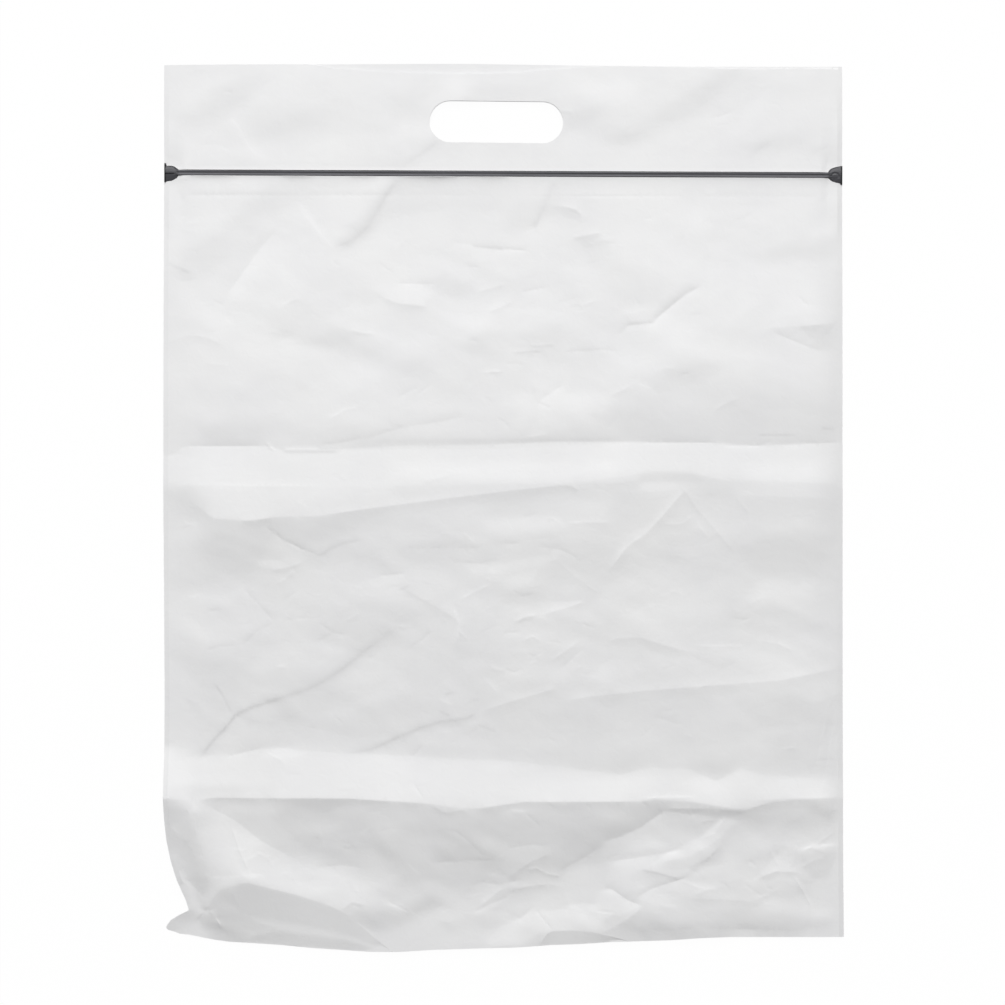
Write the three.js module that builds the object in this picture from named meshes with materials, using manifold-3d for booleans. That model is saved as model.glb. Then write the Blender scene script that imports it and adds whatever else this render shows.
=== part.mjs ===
// Resealable carrier bag of white polyethylene film, lying on its back.
// X runs across the bag, +Y points to the mouth with the hand hole, +Z is the front. Millimetres.
import * as THREE from 'three';
import Module from 'manifold-3d';
import { mergeVertices } from 'three/addons/utils/BufferGeometryUtils.js';

// Film and flat size of the made-up bag
const BAG_WIDTH = 407;
const BAG_HEIGHT = 523;
const FILM = 0.1;
const GUSSET_DEPTH = 83;

// Side welds: all layers melted into one strip, thinner at the cut edge
const WELD_WIDTH = 3;
const WELD_EDGE = 0.5;
const SHOULDER = 13;

// Clear space between layers that lie on each other
const MOUTH_GAP = 0.8;
const POCKET_GAP = 0.4;
const SLIT_GAP = 0.4;
const FOLD_WALL = 0.4;

// Hand hole punched through both walls
const HOLE_LENGTH = 80.4;
const HOLE_HEIGHT = 25;
const HOLE_BELOW_MOUTH = 34.6;
const HOLE_OFFSET = -4.2;

// Press-to-close zip
const ZIP_BELOW_MOUTH = 65.4;
const ZIP_TILT = THREE.MathUtils.degToRad(-0.24);
const ZIP_WIDTH = 3.3;
const ZIP_PLAY = 0.15;
const SEAT = 0.15;
const SLOT_CLEARANCE = 0.3;
const FLANGE = 0.3;
const FLANGE_UP = 4.6;
const FLANGE_DOWN = 13.2;
const JAW_LIP = 0.3;
const SPINE = 0.9;
const RIDGE_FLAT = 0.7;
const RIDGE_BEVEL = 0.3;
const RIB_STEM = 0.8;
const RIB_HEAD = 1.4;
const RIB_TIP = 0.6;
const RIB_HEAD_HEIGHT = 0.7;

// Zip ends crushed flat in the welds
const CRUSH_LENGTH = 8.6;
const CRUSH_HEIGHT = 9.4;
const CRUSH_THICK = 0.5;
const CRUSH_RAMP = 5;
const BEAD_WIDTH = 0.9;
const BEAD_HEIGHT = 11.2;
const GROOVE_LENGTH = 5.4;
const GROOVE_WIDTH = 0.5;
const GROOVE_DEPTH = 0.25;

// Spacing of the film's mesh across the bag
const MESH_STEP = 15;
// How far a fold takes to die out towards a weld, and towards the flat zip
const SIDE_RUN = 24;
const ZIP_RUN = 22;

const MOUTH_Y = BAG_HEIGHT / 2;
const FOOT_Y = -BAG_HEIGHT / 2;
const LEFT_X = -BAG_WIDTH / 2;
const ZIP_Y = MOUTH_Y - ZIP_BELOW_MOUTH;
const { clamp, lerp, smoothstep } = THREE.MathUtils;

// Heights in the stack of layers, counted from the surface the bag lies on
const RIB_LOW = FILM + SEAT;
const RIB_TOP = RIB_LOW + FLANGE;
const JAW_LOW = RIB_TOP + ZIP_PLAY;
const JAW_TOP = JAW_LOW + JAW_LIP;
const HEAD_LOW = JAW_TOP + ZIP_PLAY;
const HEAD_TOP = HEAD_LOW + RIB_HEAD_HEIGHT;
const CHAMBER_TOP = HEAD_TOP + ZIP_PLAY;
const SPINE_TOP = CHAMBER_TOP + SPINE;
const CRUSH_TOP = JAW_LOW + CRUSH_THICK;
const MOUTH_STACK = 2 * FILM + MOUTH_GAP;
const ZIP_STACK = CHAMBER_TOP + FLANGE + SEAT + FILM;
const GUSSET_STACK = 4 * FILM + 2 * POCKET_GAP + SLIT_GAP;
const LEAF_LOW = FILM + POCKET_GAP;
// Well clear of everything above and below
const HIGH = ZIP_STACK + 40;

// Left edge: how far it is drawn in, by height above the foot, down to the folded-out corner
const LEFT_DRAWN_IN = [
  [-6, 1.2], [5, 1.2], [10, 4.2], [13, 9], [16, 15], [22, 13.2],
  [34, 7.8], [46, 4.2], [58, 1.8], [70, 0.6], [84, 0],
];
// Foot line: how far it hangs below the flat size, by distance from the left edge
const FOOT_SAG = [
  [0, -5.4], [9, -1.8], [21, 0], [39, 3], [69, 4.8], [105, 7.8], [132, 9],
  [159, 7.8], [195, 6.6], [231, 4.8], [267, 3], [303, 1.8], [339, 0],
];
// Where the gusset stands open: rim of the front fold, from the left edge and above the foot,
// and how far up the two leaves stay apart
const OPENINGS = [
  { reach: 60, rim: [[36.5, -6], [34.7, 5], [27, 20], [34.7, 28], [49.7, 32.8], [81.5, 26.2],
    [105.5, 17.2], [123.5, 5.2], [136.7, -6]] },
  { reach: 14, rim: [[214, -6], [222.6, 1.2], [249.6, 3.6], [273.6, -1.8], [279, -6]] },
];
const BELOW_FOOT = 30;

// Fold ridges: points are [from the left edge, from the datum, height]. They are counted down from
// the mouth or up from the foot; the film falls away over the distance "above" and "below" the line.
const RIDGES = [
  // crossing ridge under the middle packing fold
  { from: 'mouth', above: 27, below: 120, line: [
    [0, 254, 6], [28, 262, 7], [54, 273, 8.5], [118, 266, 9], [208, 255, 9], [241, 252, 9],
    [311, 255, 9.5], [407, 251, 8]] },
  // swell of the upper wall that drops into the middle packing fold
  { from: 'mouth', above: 95, below: 50, line: [
    [20, 182, 2.6], [110, 190, 3.4], [240, 178, 4], [330, 170, 4.6], [395, 176, 4]] },
  { from: 'mouth', above: 60, below: 9, line: [[270, 160, 3.4], [296, 147, 4.2], [322, 133, 3]] },
  { from: 'mouth', above: 12, below: 34, line: [[66, 100, 2], [42, 133, 3.4], [34, 145, 2]] },
  // star of creases right of the middle
  { from: 'mouth', above: 20, below: 26, line: [[310, 256, 9.5], [285, 281, 9], [266, 303, 6]] },
  { from: 'mouth', above: 24, below: 16, line: [[310, 256, 9.5], [327, 276, 8.4], [345, 297, 5.4]] },
  // oblique folds of the lower middle
  { from: 'foot', above: 52, below: 10, line: [
    [21, 111, 3], [40, 133, 5], [84, 149, 6], [120, 172, 6.4], [141, 187, 5]] },
  { from: 'foot', above: 46, below: 12, line: [
    [105, 111, 3], [135, 118, 5], [165, 130, 5.6], [207, 142, 6], [234, 149, 5]] },
  { from: 'foot', above: 13, below: 44, line: [
    [252, 145, 4], [309, 149, 6], [369, 154, 6], [407, 161, 5]] },
  // ridge over the inner fold of the gusset
  { from: 'foot', above: 25, below: 52, line: [
    [0, 82, 7], [25, 82, 8], [103, 84, 8.6], [207, 81, 9], [294, 84, 9], [348, 78, 8.6], [407, 83, 8]] },
  // rim of the opened gusset and its light facet
  { from: 'foot', above: 48, below: 9, line: [
    [20, 22, 4], [34.7, 28, 8], [49.7, 32.8, 11], [81.5, 26.2, 10.4], [105.5, 17.2, 8],
    [123.5, 5.2, 5], [137, -6, 3]] },
  // foot folds to the right of it
  { from: 'foot', above: 30, below: 6, line: [[150, -4, 5], [195, -2, 6.4], [222, 2, 6]] },
  { from: 'foot', above: 11, below: 17, line: [[241, 28, 4], [268, 29, 5.6], [286, 20, 4.6]] },
  { from: 'foot', above: 15, below: 13, line: [[334, 72, 5.4], [315, 58, 6], [285, 40, 4.4]] },
  { from: 'foot', above: 20, below: 30, line: [[350, 34, 3.4], [378, 42, 5], [403, 56, 4]] },
  // waves in the header
  { from: 'mouth', above: 22, below: 16, line: [[30, 22, 0.9], [80, 10, 1.3], [140, 6, 0.8]] },
  { from: 'mouth', above: 24, below: 14, line: [[268, 44, 0.8], [310, 24, 1.4], [350, 4, 1]] },
];

function along(points, at) {
  if (at <= points[0][0]) return points[0][1];
  for (let k = 1; k < points.length; k += 1) {
    const [x0, y0] = points[k - 1];
    const [x1, y1] = points[k];
    if (at <= x1) return lerp(y0, y1, (at - x0) / (x1 - x0));
  }
  return points[points.length - 1][1];
}

// Ridge points in the bag's own frame
function placed(ridge) {
  const fromMouth = ridge.from === 'mouth';
  return ridge.line.map(([x, d, h]) => [LEFT_X + x, fromMouth ? MOUTH_Y - d : FOOT_Y + d, h]);
}

// Nearest point of a line to (x, y): distance, side (+1 above) and the line's height there
function nearest(line, x, y) {
  let best = { distance: Infinity, side: 1, height: 0 };
  for (let k = 1; k < line.length; k += 1) {
    const [ax, ay, ah] = line[k - 1];
    const [bx, by, bh] = line[k];
    const t = clamp(((x - ax) * (bx - ax) + (y - ay) * (by - ay)) / ((bx - ax) ** 2 + (by - ay) ** 2), 0, 1);
    const distance = Math.hypot(x - lerp(ax, bx, t), y - lerp(ay, by, t));
    if (distance < best.distance) {
      const turn = ((bx - ax) * (y - ay) - (by - ay) * (x - ax)) * Math.sign(bx - ax || 1);
      best = { distance, side: turn >= 0 ? 1 : -1, height: lerp(ah, bh, t) };
    }
  }
  return best;
}

const RIDGE_LINES = RIDGES.map((ridge) => ({ ...ridge, line: placed(ridge) }));
const RIMS = OPENINGS.map(({ reach, rim }) => ({ reach, line: rim.map(([x, d]) => [LEFT_X + x, FOOT_Y + d, 0]) }));

// Stack height of the layers where the bag lies flat
function flatHeight(y) {
  return along([
    [0, MOUTH_STACK],
    [ZIP_BELOW_MOUTH - FLANGE_UP - 6, ZIP_STACK],
    [ZIP_BELOW_MOUTH + FLANGE_DOWN + 3, ZIP_STACK],
    [ZIP_BELOW_MOUTH + FLANGE_DOWN + 3 + ZIP_RUN, GUSSET_STACK],
  ], MOUTH_Y - y);
}

// Height that the folds and puffs add to it
function foldHeight(x, y) {
  let height = 0;
  for (const { line, above, below } of RIDGE_LINES) {
    const near = nearest(line, x, y);
    const reach = near.side > 0 ? above : below;
    height = Math.max(height, near.height * (1 - near.distance / reach));
  }
  const zipDistance = y > ZIP_Y ? y - ZIP_Y - FLANGE_UP - 4 : ZIP_Y - FLANGE_DOWN - 3 - y;
  return height * smoothstep(zipDistance, 0, ZIP_RUN);
}

// Columns across the bag: cut edge, weld line, shoulder, then even steps
const inner = BAG_WIDTH - 2 * SHOULDER;
const steps = Math.round(inner / MESH_STEP);
const COLUMNS = [0, WELD_WIDTH];
for (let k = 0; k <= steps; k += 1) COLUMNS.push(SHOULDER + (inner * k) / steps);
COLUMNS.push(BAG_WIDTH - WELD_WIDTH, BAG_WIDTH);

// Rows follow the lines that cross the bag: mouth, zip, packing fold, ridges, gusset fold and foot
const GUIDES = [
  { rows: 5, y: () => MOUTH_Y },
  { rows: 2, y: () => ZIP_Y + FLANGE_UP + 4.5 },
  { rows: 10, y: () => ZIP_Y - FLANGE_DOWN - 2 },
  { rows: 3, y: (x) => MOUTH_Y - along([[0, 227], [90, 229], [200, 229], [407, 226]], x) },
  { rows: 11, y: (x) => MOUTH_Y - along(RIDGES[0].line, x) },
  { rows: 3, y: (x) => FOOT_Y + along([[0, 100], [40, 108], [72, 114], [105, 108], [407, 97]], x) },
  { rows: 9, y: () => FOOT_Y + GUSSET_DEPTH },
  { rows: 0, y: (x) => FOOT_Y - along(FOOT_SAG, x) },
];
const ROWS = GUIDES.flatMap((guide, g) =>
  Array.from({ length: guide.rows }, (_, k) => [g, k / guide.rows])).concat([[GUIDES.length - 1, 0]]);
const GUSSET_ROW = ROWS.findIndex(([g, k]) => g === GUIDES.length - 2 && k === 0);
const LAST_ROW = ROWS.length - 1;
const LAST_COLUMN = COLUMNS.length - 1;

// Plan position and front height of each grid point of the film
const GRID = COLUMNS.map((column, i) => ROWS.map(([g, k]) => {
  const from = GUIDES[g].y(column);
  const y = k > 0 ? lerp(from, GUIDES[g + 1].y(column), k) : from;
  const drawnIn = along(LEFT_DRAWN_IN, y - FOOT_Y) * (1 - smoothstep(column, 0, 90));
  const x = LEFT_X + column + drawnIn;
  const edge = Math.min(column, BAG_WIDTH - column);
  const puff = foldHeight(x, y) * smoothstep(edge, WELD_WIDTH, WELD_WIDTH + SIDE_RUN);
  const cutEdge = i === 0 || i === LAST_COLUMN;
  return { x, y, z: cutEdge ? WELD_EDGE : flatHeight(y) + puff };
}));

// A closed block over part of the grid, from well below the bag up to a given height
function sheetBlock(columns, rows, high) {
  const block = new THREE.BoxGeometry(1, 1, 1, columns.length - 1, rows.length - 1, 1);
  const position = block.attributes.position;
  for (let p = 0; p < position.count; p += 1) {
    const i = columns[Math.round((position.getX(p) + 0.5) * (columns.length - 1))];
    const row = rows[Math.round((0.5 - position.getY(p)) * (rows.length - 1))];
    const point = GRID[i][row.j];
    const height = position.getZ(p) > 0 ? high(point) : -HIGH;
    position.setXYZ(p, point.x, point.y + row.run, height);
  }
  return block;
}

function rowsBetween(first, last) {
  return Array.from({ length: last - first + 1 }, (_, k) => ({ j: first + k, run: 0 }));
}

function columnsBetween(first, last) {
  return Array.from({ length: last - first + 1 }, (_, k) => first + k);
}

// Booleans on closed geometries
const wasm = await Module();
wasm.setup();

function solid(geometry) {
  const bare = geometry.clone();
  bare.deleteAttribute('normal');
  bare.deleteAttribute('uv');
  const merged = mergeVertices(bare, 1e-5);
  return new wasm.Manifold(new wasm.Mesh({
    numProp: 3,
    vertProperties: new Float32Array(merged.attributes.position.array),
    triVerts: new Uint32Array(merged.index.array),
  }));
}

function geometryOf(manifold) {
  const mesh = manifold.getMesh();
  const geometry = new THREE.BufferGeometry();
  geometry.setAttribute('position', new THREE.BufferAttribute(new Float32Array(mesh.vertProperties), 3));
  geometry.setIndex(new THREE.BufferAttribute(new Uint32Array(mesh.triVerts), 1));
  geometry.computeVertexNormals();
  return geometry;
}

// What a solid holds above a level, with one flat underside
function above(manifold, level) {
  const under = new THREE.BoxGeometry(2 * BAG_WIDTH, 2 * BAG_HEIGHT, 2 * HIGH).translate(0, 0, level - HIGH);
  return manifold.subtract(solid(under));
}

// Upright prism on a plan outline
function prism(outline, low, high) {
  const shape = new THREE.Shape(outline.map(([x, y]) => new THREE.Vector2(x, y)));
  return new THREE.ExtrudeGeometry(shape, { depth: high - low, bevelEnabled: false }).translate(0, 0, low);
}

// Bar along X with a section drawn as [y, z]
function barAlongX(section, x0, x1) {
  const shape = new THREE.Shape(section.map(([y, z]) => new THREE.Vector2(y, z)));
  const bar = new THREE.ExtrudeGeometry(shape, { depth: x1 - x0, bevelEnabled: false });
  return bar.applyMatrix4(new THREE.Matrix4().makeBasis(
    new THREE.Vector3(0, 1, 0), new THREE.Vector3(0, 0, 1), new THREE.Vector3(1, 0, 0))).translate(x0, 0, 0);
}

// Outline of one crushed zip end, grown by a clearance; side is -1 at the left edge and 1 at the right
function crushOutline(side, grow, run) {
  const edge = BAG_WIDTH / 2;
  const bead = BEAD_HEIGHT / 2 + grow;
  const dome = [];
  for (let k = 0; k <= 6; k += 1) {
    const turn = (k / 6) * (Math.PI / 2);
    const reach = BEAD_WIDTH + grow + (CRUSH_LENGTH - BEAD_WIDTH) * Math.sin(turn);
    const half = ZIP_WIDTH / 2 + grow + (CRUSH_HEIGHT - ZIP_WIDTH) / 2 * Math.cos(turn);
    dome.push([edge - reach, half]);
  }
  const upper = [[edge + run, bead], [edge - BEAD_WIDTH - grow, bead], ...dome];
  const lower = upper.map(([x, y]) => [x, -y]).reverse();
  const outline = upper.concat(lower);
  return side > 0 ? outline : outline.map(([x, y]) => [-x, y]);
}

// Film: one web folded at the gusset, with both walls melted together along the sides
function bagFilm() {
  const outer = above(solid(sheetBlock(
    columnsBetween(0, LAST_COLUMN), rowsBetween(0, LAST_ROW), (p) => p.z)), 0);
  const insideColumns = columnsBetween(1, LAST_COLUMN - 1);
  const insideRows = [{ j: 0, run: 3 }, ...rowsBetween(0, LAST_ROW - 1), { j: LAST_ROW, run: FOLD_WALL }];
  const inside = above(solid(sheetBlock(insideColumns, insideRows, (p) => p.z - FILM)), FILM);

  // Gusset: two leaves that share the inner fold, with the slit between them open at the foot
  const openness = (p) => Math.max(0, ...RIMS.map(({ reach, line }) => 1 - nearest(line, p.x, p.y).distance / reach));
  const slit = (p) => SLIT_GAP + openness(p) * (p.z - GUSSET_STACK);
  const leafTop = (p) => LEAF_LOW + 2 * FILM + slit(p);
  const leafRows = [...rowsBetween(GUSSET_ROW, LAST_ROW), { j: LAST_ROW, run: -BELOW_FOOT }];
  const leaves = above(solid(sheetBlock(columnsBetween(0, LAST_COLUMN), leafRows, leafTop)), LEAF_LOW);
  const slitRows = [{ j: GUSSET_ROW, run: -FOLD_WALL }, ...leafRows.slice(1)];
  const gap = above(solid(sheetBlock(insideColumns, slitRows, (p) => leafTop(p) - FILM)), LEAF_LOW + FILM);

  // Opened parts of the gusset: the front fold ends at the rim and the lower leaf shows
  const mouthOf = (line, grow, low) => {
    const left = line[0][0] - grow;
    const right = line[line.length - 1][0] + grow;
    const lower = FOOT_Y - BELOW_FOOT;
    const upper = line.map(([x, y]) => [x + grow * Math.sign(x - (left + right) / 2), y + grow]);
    return solid(prism([[left, lower], [right, lower], ...upper.reverse()], low, HIGH));
  };

  const holeRun = (HOLE_LENGTH - HOLE_HEIGHT) / 2;
  const holeShape = new THREE.Shape();
  holeShape.absarc(holeRun, 0, HOLE_HEIGHT / 2, -Math.PI / 2, Math.PI / 2, false);
  holeShape.absarc(-holeRun, 0, HOLE_HEIGHT / 2, Math.PI / 2, 1.5 * Math.PI, false);
  const hole = new THREE.ExtrudeGeometry(holeShape, { depth: HIGH, bevelEnabled: false, curveSegments: 10 })
    .translate(HOLE_OFFSET, MOUTH_Y - HOLE_BELOW_MOUTH, -HIGH / 2);

  // Slot in the front wall that the zip's spine shows through, widened at the crushed ends
  const half = ZIP_WIDTH / 2 + SLOT_CLEARANCE;
  const slotRun = BAG_WIDTH / 2 - CRUSH_LENGTH;
  const slot = new THREE.BoxGeometry(2 * slotRun, 2 * half, HIGH).translate(0, 0, FILM + HIGH / 2);
  const atZip = (geometry) => solid(geometry.rotateZ(ZIP_TILT).translate(0, ZIP_Y, 0));

  let pockets = inside.subtract(leaves);
  let cuts = gap.add(solid(hole)).add(atZip(slot));
  for (const { line } of RIMS) {
    pockets = pockets.subtract(mouthOf(line, FOLD_WALL, LEAF_LOW + FILM / 2));
    cuts = cuts.add(mouthOf(line, 0, LEAF_LOW + FILM));
  }
  let film = outer.subtract(pockets).subtract(cuts);
  for (const side of [-1, 1]) {
    const end = crushOutline(side, SLOT_CLEARANCE, 5);
    film = film.subtract(atZip(prism(side > 0 ? end.reverse() : end, FILM, HIGH)));
  }
  return geometryOf(film);
}

// Front track: two hooked jaws on a ridged spine, with a welding flange to each side
function grooveTrack() {
  const half = ZIP_WIDTH / 2;
  const throat = RIB_STEM / 2 + ZIP_PLAY;
  const chamber = RIB_HEAD / 2 + ZIP_PLAY;
  const flangeTop = CHAMBER_TOP + FLANGE;
  const valley = half - RIDGE_BEVEL - RIDGE_FLAT - RIDGE_BEVEL;
  const right = [
    [throat, JAW_LOW], [half, JAW_LOW], [half, CHAMBER_TOP], [FLANGE_UP, CHAMBER_TOP], [FLANGE_UP, flangeTop],
    [half, flangeTop], [half, SPINE_TOP - RIDGE_BEVEL], [half - RIDGE_BEVEL, SPINE_TOP],
    [half - RIDGE_BEVEL - RIDGE_FLAT, SPINE_TOP], [valley, SPINE_TOP - RIDGE_BEVEL],
  ];
  const left = right.map(([y, z]) => [y === FLANGE_UP ? -FLANGE_DOWN : -y, z]).reverse();
  const groove = [[-throat, JAW_TOP], [-chamber, JAW_TOP], [-chamber, CHAMBER_TOP],
    [chamber, CHAMBER_TOP], [chamber, JAW_TOP], [throat, JAW_TOP]];
  const run = BAG_WIDTH / 2 - CRUSH_LENGTH - CRUSH_RAMP;
  let track = solid(barAlongX([...right, ...left, ...groove], -run, run));
  for (const side of [-1, 1]) {
    const near = side * (run - 0.4);
    const far = side * (run + CRUSH_RAMP + 0.6);
    const ramp = new THREE.Shape([[near, JAW_LOW], [far, JAW_LOW], [far, CRUSH_TOP], [near, SPINE_TOP - RIDGE_BEVEL]]
      .map(([x, z]) => new THREE.Vector2(x, z)));
    const wedge = new THREE.ExtrudeGeometry(ramp, { depth: ZIP_WIDTH, bevelEnabled: false })
      .rotateX(Math.PI / 2).translate(0, half, 0);
    const end = crushOutline(side, 0, 0);
    track = track.add(solid(wedge)).add(solid(prism(side > 0 ? end.reverse() : end, JAW_LOW, CRUSH_TOP)));
    const groove = new THREE.BoxGeometry(GROOVE_LENGTH, GROOVE_WIDTH, 2 * GROOVE_DEPTH)
      .translate(side * (BAG_WIDTH / 2 - BEAD_WIDTH - GROOVE_LENGTH / 2), 0, CRUSH_TOP);
    track = track.subtract(solid(groove));
  }
  return geometryOf(track);
}

// Back track: a rib with an arrow head that snaps between the jaws, on its welding flange
function ribTrack() {
  const stem = RIB_STEM / 2;
  const head = RIB_HEAD / 2;
  const tip = RIB_TIP / 2;
  const run = BAG_WIDTH / 2 - CRUSH_LENGTH - CRUSH_RAMP - ZIP_PLAY;
  const flange = [[-FLANGE_DOWN, RIB_LOW], [FLANGE_UP, RIB_LOW], [FLANGE_UP, RIB_TOP], [-FLANGE_DOWN, RIB_TOP]];
  const rib = [[-stem, RIB_LOW], [stem, RIB_LOW], [stem, HEAD_LOW], [head, HEAD_LOW], [tip, HEAD_TOP],
    [-tip, HEAD_TOP], [-head, HEAD_LOW], [-stem, HEAD_LOW]];
  let track = solid(barAlongX(flange, -run, run)).add(solid(barAlongX(rib, -run + 1, run - 1)));
  const tie = BAG_WIDTH / 2 - CRUSH_LENGTH / 2;
  track = track.add(solid(new THREE.BoxGeometry(2 * tie, ZIP_WIDTH, FLANGE).translate(0, 0, RIB_LOW + FLANGE / 2)));
  for (const side of [-1, 1]) {
    const end = crushOutline(side, 0, 0);
    track = track.add(solid(prism(side > 0 ? end.reverse() : end, RIB_LOW, RIB_TOP)));
  }
  return geometryOf(track);
}

function piece(name, geometry, color, roughness) {
  const mesh = new THREE.Mesh(geometry, new THREE.MeshStandardMaterial({ color, roughness, metalness: 0 }));
  mesh.name = name;
  return mesh;
}

const zip = new THREE.Group();
zip.position.y = ZIP_Y;
zip.rotation.z = ZIP_TILT;
zip.add(piece('zip_groove_track', grooveTrack(), 0x565659, 0.45));
zip.add(piece('zip_rib_track', ribTrack(), 0x565659, 0.45));

const bag = new THREE.Group();
bag.add(piece('bag_film', bagFilm(), 0xefefef, 0.4));
bag.add(zip);

// Origin under the middle of the lying bag
const box = new THREE.Box3().setFromObject(bag);
const middle = box.getCenter(new THREE.Vector3());
bag.position.set(-middle.x, -middle.y, -box.min.z);

export default bag;
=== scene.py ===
import math

import bpy
import numpy as np
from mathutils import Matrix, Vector, kdtree
from mathutils.geometry import delaunay_2d_cdt


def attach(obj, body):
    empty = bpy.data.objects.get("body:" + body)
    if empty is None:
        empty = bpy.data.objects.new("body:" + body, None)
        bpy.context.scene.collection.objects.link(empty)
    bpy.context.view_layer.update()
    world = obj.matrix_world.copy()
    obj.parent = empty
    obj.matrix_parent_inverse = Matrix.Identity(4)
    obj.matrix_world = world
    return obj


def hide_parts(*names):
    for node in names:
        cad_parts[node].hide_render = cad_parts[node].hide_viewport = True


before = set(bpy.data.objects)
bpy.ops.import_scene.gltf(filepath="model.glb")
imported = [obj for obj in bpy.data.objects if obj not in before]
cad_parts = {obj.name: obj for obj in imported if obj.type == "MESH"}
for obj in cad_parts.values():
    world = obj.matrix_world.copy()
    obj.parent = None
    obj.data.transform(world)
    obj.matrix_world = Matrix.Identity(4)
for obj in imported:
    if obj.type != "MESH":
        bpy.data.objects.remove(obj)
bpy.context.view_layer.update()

# An empty white film carrier bag on its back. Lengths are millimetres until a mesh is made, then metres. What is
# drawn after the photograph is in its pixels: columns from the left, rows from the top.
METRE = 1000

# Photograph: 1005 pixels square, straight down; a pixel is 0.6 mm on the bag
IMAGE = 1005
PIXEL = 0.6
ORIGIN_PIXEL = (503.3, 508.2)

# Film and its layers, as in the solids
BAG_WIDTH = 407.0
FILM = 0.1
WELD_WIDTH = 3.0
WELD_EDGE = 0.5
LEAF_LOW = 0.5
SLIT_GAP = 0.4
FOLD_WALL = 0.5

# What cuts the film reaches up to here, below the ground, and out past the mouth and the cut edges
HIGH, BELOW = 60.0, -5
PAST_MOUTH, PAST_EDGE = 3.0, 5

# Mesh of the front wall: step beside its creases and how far to each side of narrow and of wide ones, step on its
# smooth fields and along its outline, and step inside the pocket
FOLD_STEP = 0.8
NARROW_BAND, WIDE_BAND = 1.6, 0.9
WALL_STEP, OUTLINE_STEP = 2.8, 2.0
POCKET_STEP = 6.0
# A fold is narrow up to this reach; facets and guide lines up to these softnesses get a crease
NARROW_REACH = 4.5
SHARP_FACET, SHARP_GUIDE = 4, 3
# Points of the mesh, in steps: along a crease, between rows, jitter, and how far off creases, bands and other
# lines; points closer than the last are one
ALONG_CREASE = 1.25
ROW_STEP = 0.87
JITTER = 0.15
OFF_CREASE, OFF_BAND, OFF_LINE = 0.6, 0.25, 0.55
MERGED = 1e-3
POINT_SEED = 2

# Folds and facets: how strongly their tilts are given, how freely they may run across the bag, and the longest
# wave that they make
FACET_GAIN = 1.35
FOLD_GAIN = 1.35
ACROSS = 0.06
LONGEST = 420.0
# Tilt falls off beside a fold and fades at its ends; folds of short reach are given more strongly, most of all in
# their core, which takes from what is beside it
FALL_OFF = 1.3
END_FADE = 0.15
CREASE_GAIN, CREASE_SPAN = 2.1, 6
SHARP_SPAN, CORE, CORE_GAIN, CORE_TAKES = 14, 1.6, 1.2, 0.3
# Film lying on film is pressed no flatter than this
PRESSED = 0.4

# Zip: middle, turn, spine, welding flanges and hooked jaws, as in the solids
ZIP_MIDDLE = (0.0, 200.53)
ZIP_TILT = math.radians(-0.24)
ZIP_WIDTH = 3.3
SLOT_CLEARANCE = 0.12
FLANGE, FLANGE_UP, FLANGE_DOWN = 0.3, 4.6, 13.2
JAW_LOW, JAW_TOP, CHAMBER_TOP, SPINE_TOP, CRUSH_TOP = 0.7, 1.0, 2.0, 2.9, 1.2
THROAT, CHAMBER = 0.55, 0.85
# Two rounded ridges along the spine: middle, half width and rise
RIDGE_MIDDLE, RIDGE_HALF, RIDGE_RISE, RIDGE_POINTS = 1.0, 0.65, 0.5, 11
# Spine running out at both ends: how far past its full section, then past the start of the crushed end, and how
# far its ridges have sunk there; how thick it is left
CRUSH_LENGTH = 8.6
CRUSH_RAMP = 5.0
RUN_OUT, SUNK_IN, END_THICK = [(-0.4, 0.02), (3, 0.05)], [(0.5, 0.35), (2.5, 1.0)], 0.2
# Crushed ends of the zip: in from the cut edge, then how far up and down from the zip's middle; where their mesh
# starts, its steps in and across, and least thickness
LEFT_PAD = [(0.6, 4.0, 5.2), (1.4, 4.0, 5.2), (4.2, 4.0, 4.9), (6.0, 3.5, 4.1), (7.5, 2.5, 3.1), (8.6, 1.65, 1.65)]
RIGHT_PAD = [(0.6, 5.5, 4.75), (1.4, 5.4, 4.75), (3.8, 4.9, 4.3), (6.2, 4.1, 3.5), (7.1, 3.6, 2.9), (8.1, 2.5, 1.9),
             (8.6, 1.65, 1.65)]
PAD_START, PAD_STEPS, PAD_THIN = 0.6, 30, 0.15
PAD_ACROSS = [0, 0.03, 0.06, 0.1, 0.15, 0.2, 0.27, 0.34, 0.42, 0.5, 0.58, 0.66, 0.74, 0.82, 0.9, 0.96, 1.0]
# Their dome, and fine ribs that end at the sides
PAD_SINK, DOME, DOME_ROUND = 0.15, 1.2, 1.8
RIB, RIB_PITCH, RIB_END = 0.045, 1.1, 8
# Notch of the left end: depth, middle across, half width, length in from the cut edge and how softly it ends
NOTCH, NOTCH_MIDDLE, NOTCH_HALF, NOTCH_LENGTH, NOTCH_END = 0.8, -0.5, 0.42, 7.0, 0.9
# Pressed ring of the right end: place in and across, radius, groove and its width, dish inside it, open below a line
RING_IN, RING_ACROSS, RING_RADIUS = 4.4, -1.0, 2.3
GROOVE, GROOVE_WIDTH, DISH, DISH_EDGE = 0.55, 0.5, 0.25, 0.8
RING_OPEN, RING_FADE = -2.2, 1.5
# Bead of melt along the cut: its size, how far it rounds off across and at its ends, and its grid
BEAD_WIDTH, BEAD_HEIGHT, BEAD_RISE = 0.9, 11.2, 0.5
BEAD_ROUND, BEAD_ENDS, BEAD_COLUMNS, BEAD_ROWS = 0.5, 0.4, 7, 17


def on_bag(px, py):
    """Pixel of the photograph to millimetres on the bag."""
    return ((np.asarray(px, float) - ORIGIN_PIXEL[0]) * PIXEL,
            (ORIGIN_PIXEL[1] - np.asarray(py, float)) * PIXEL)


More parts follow.
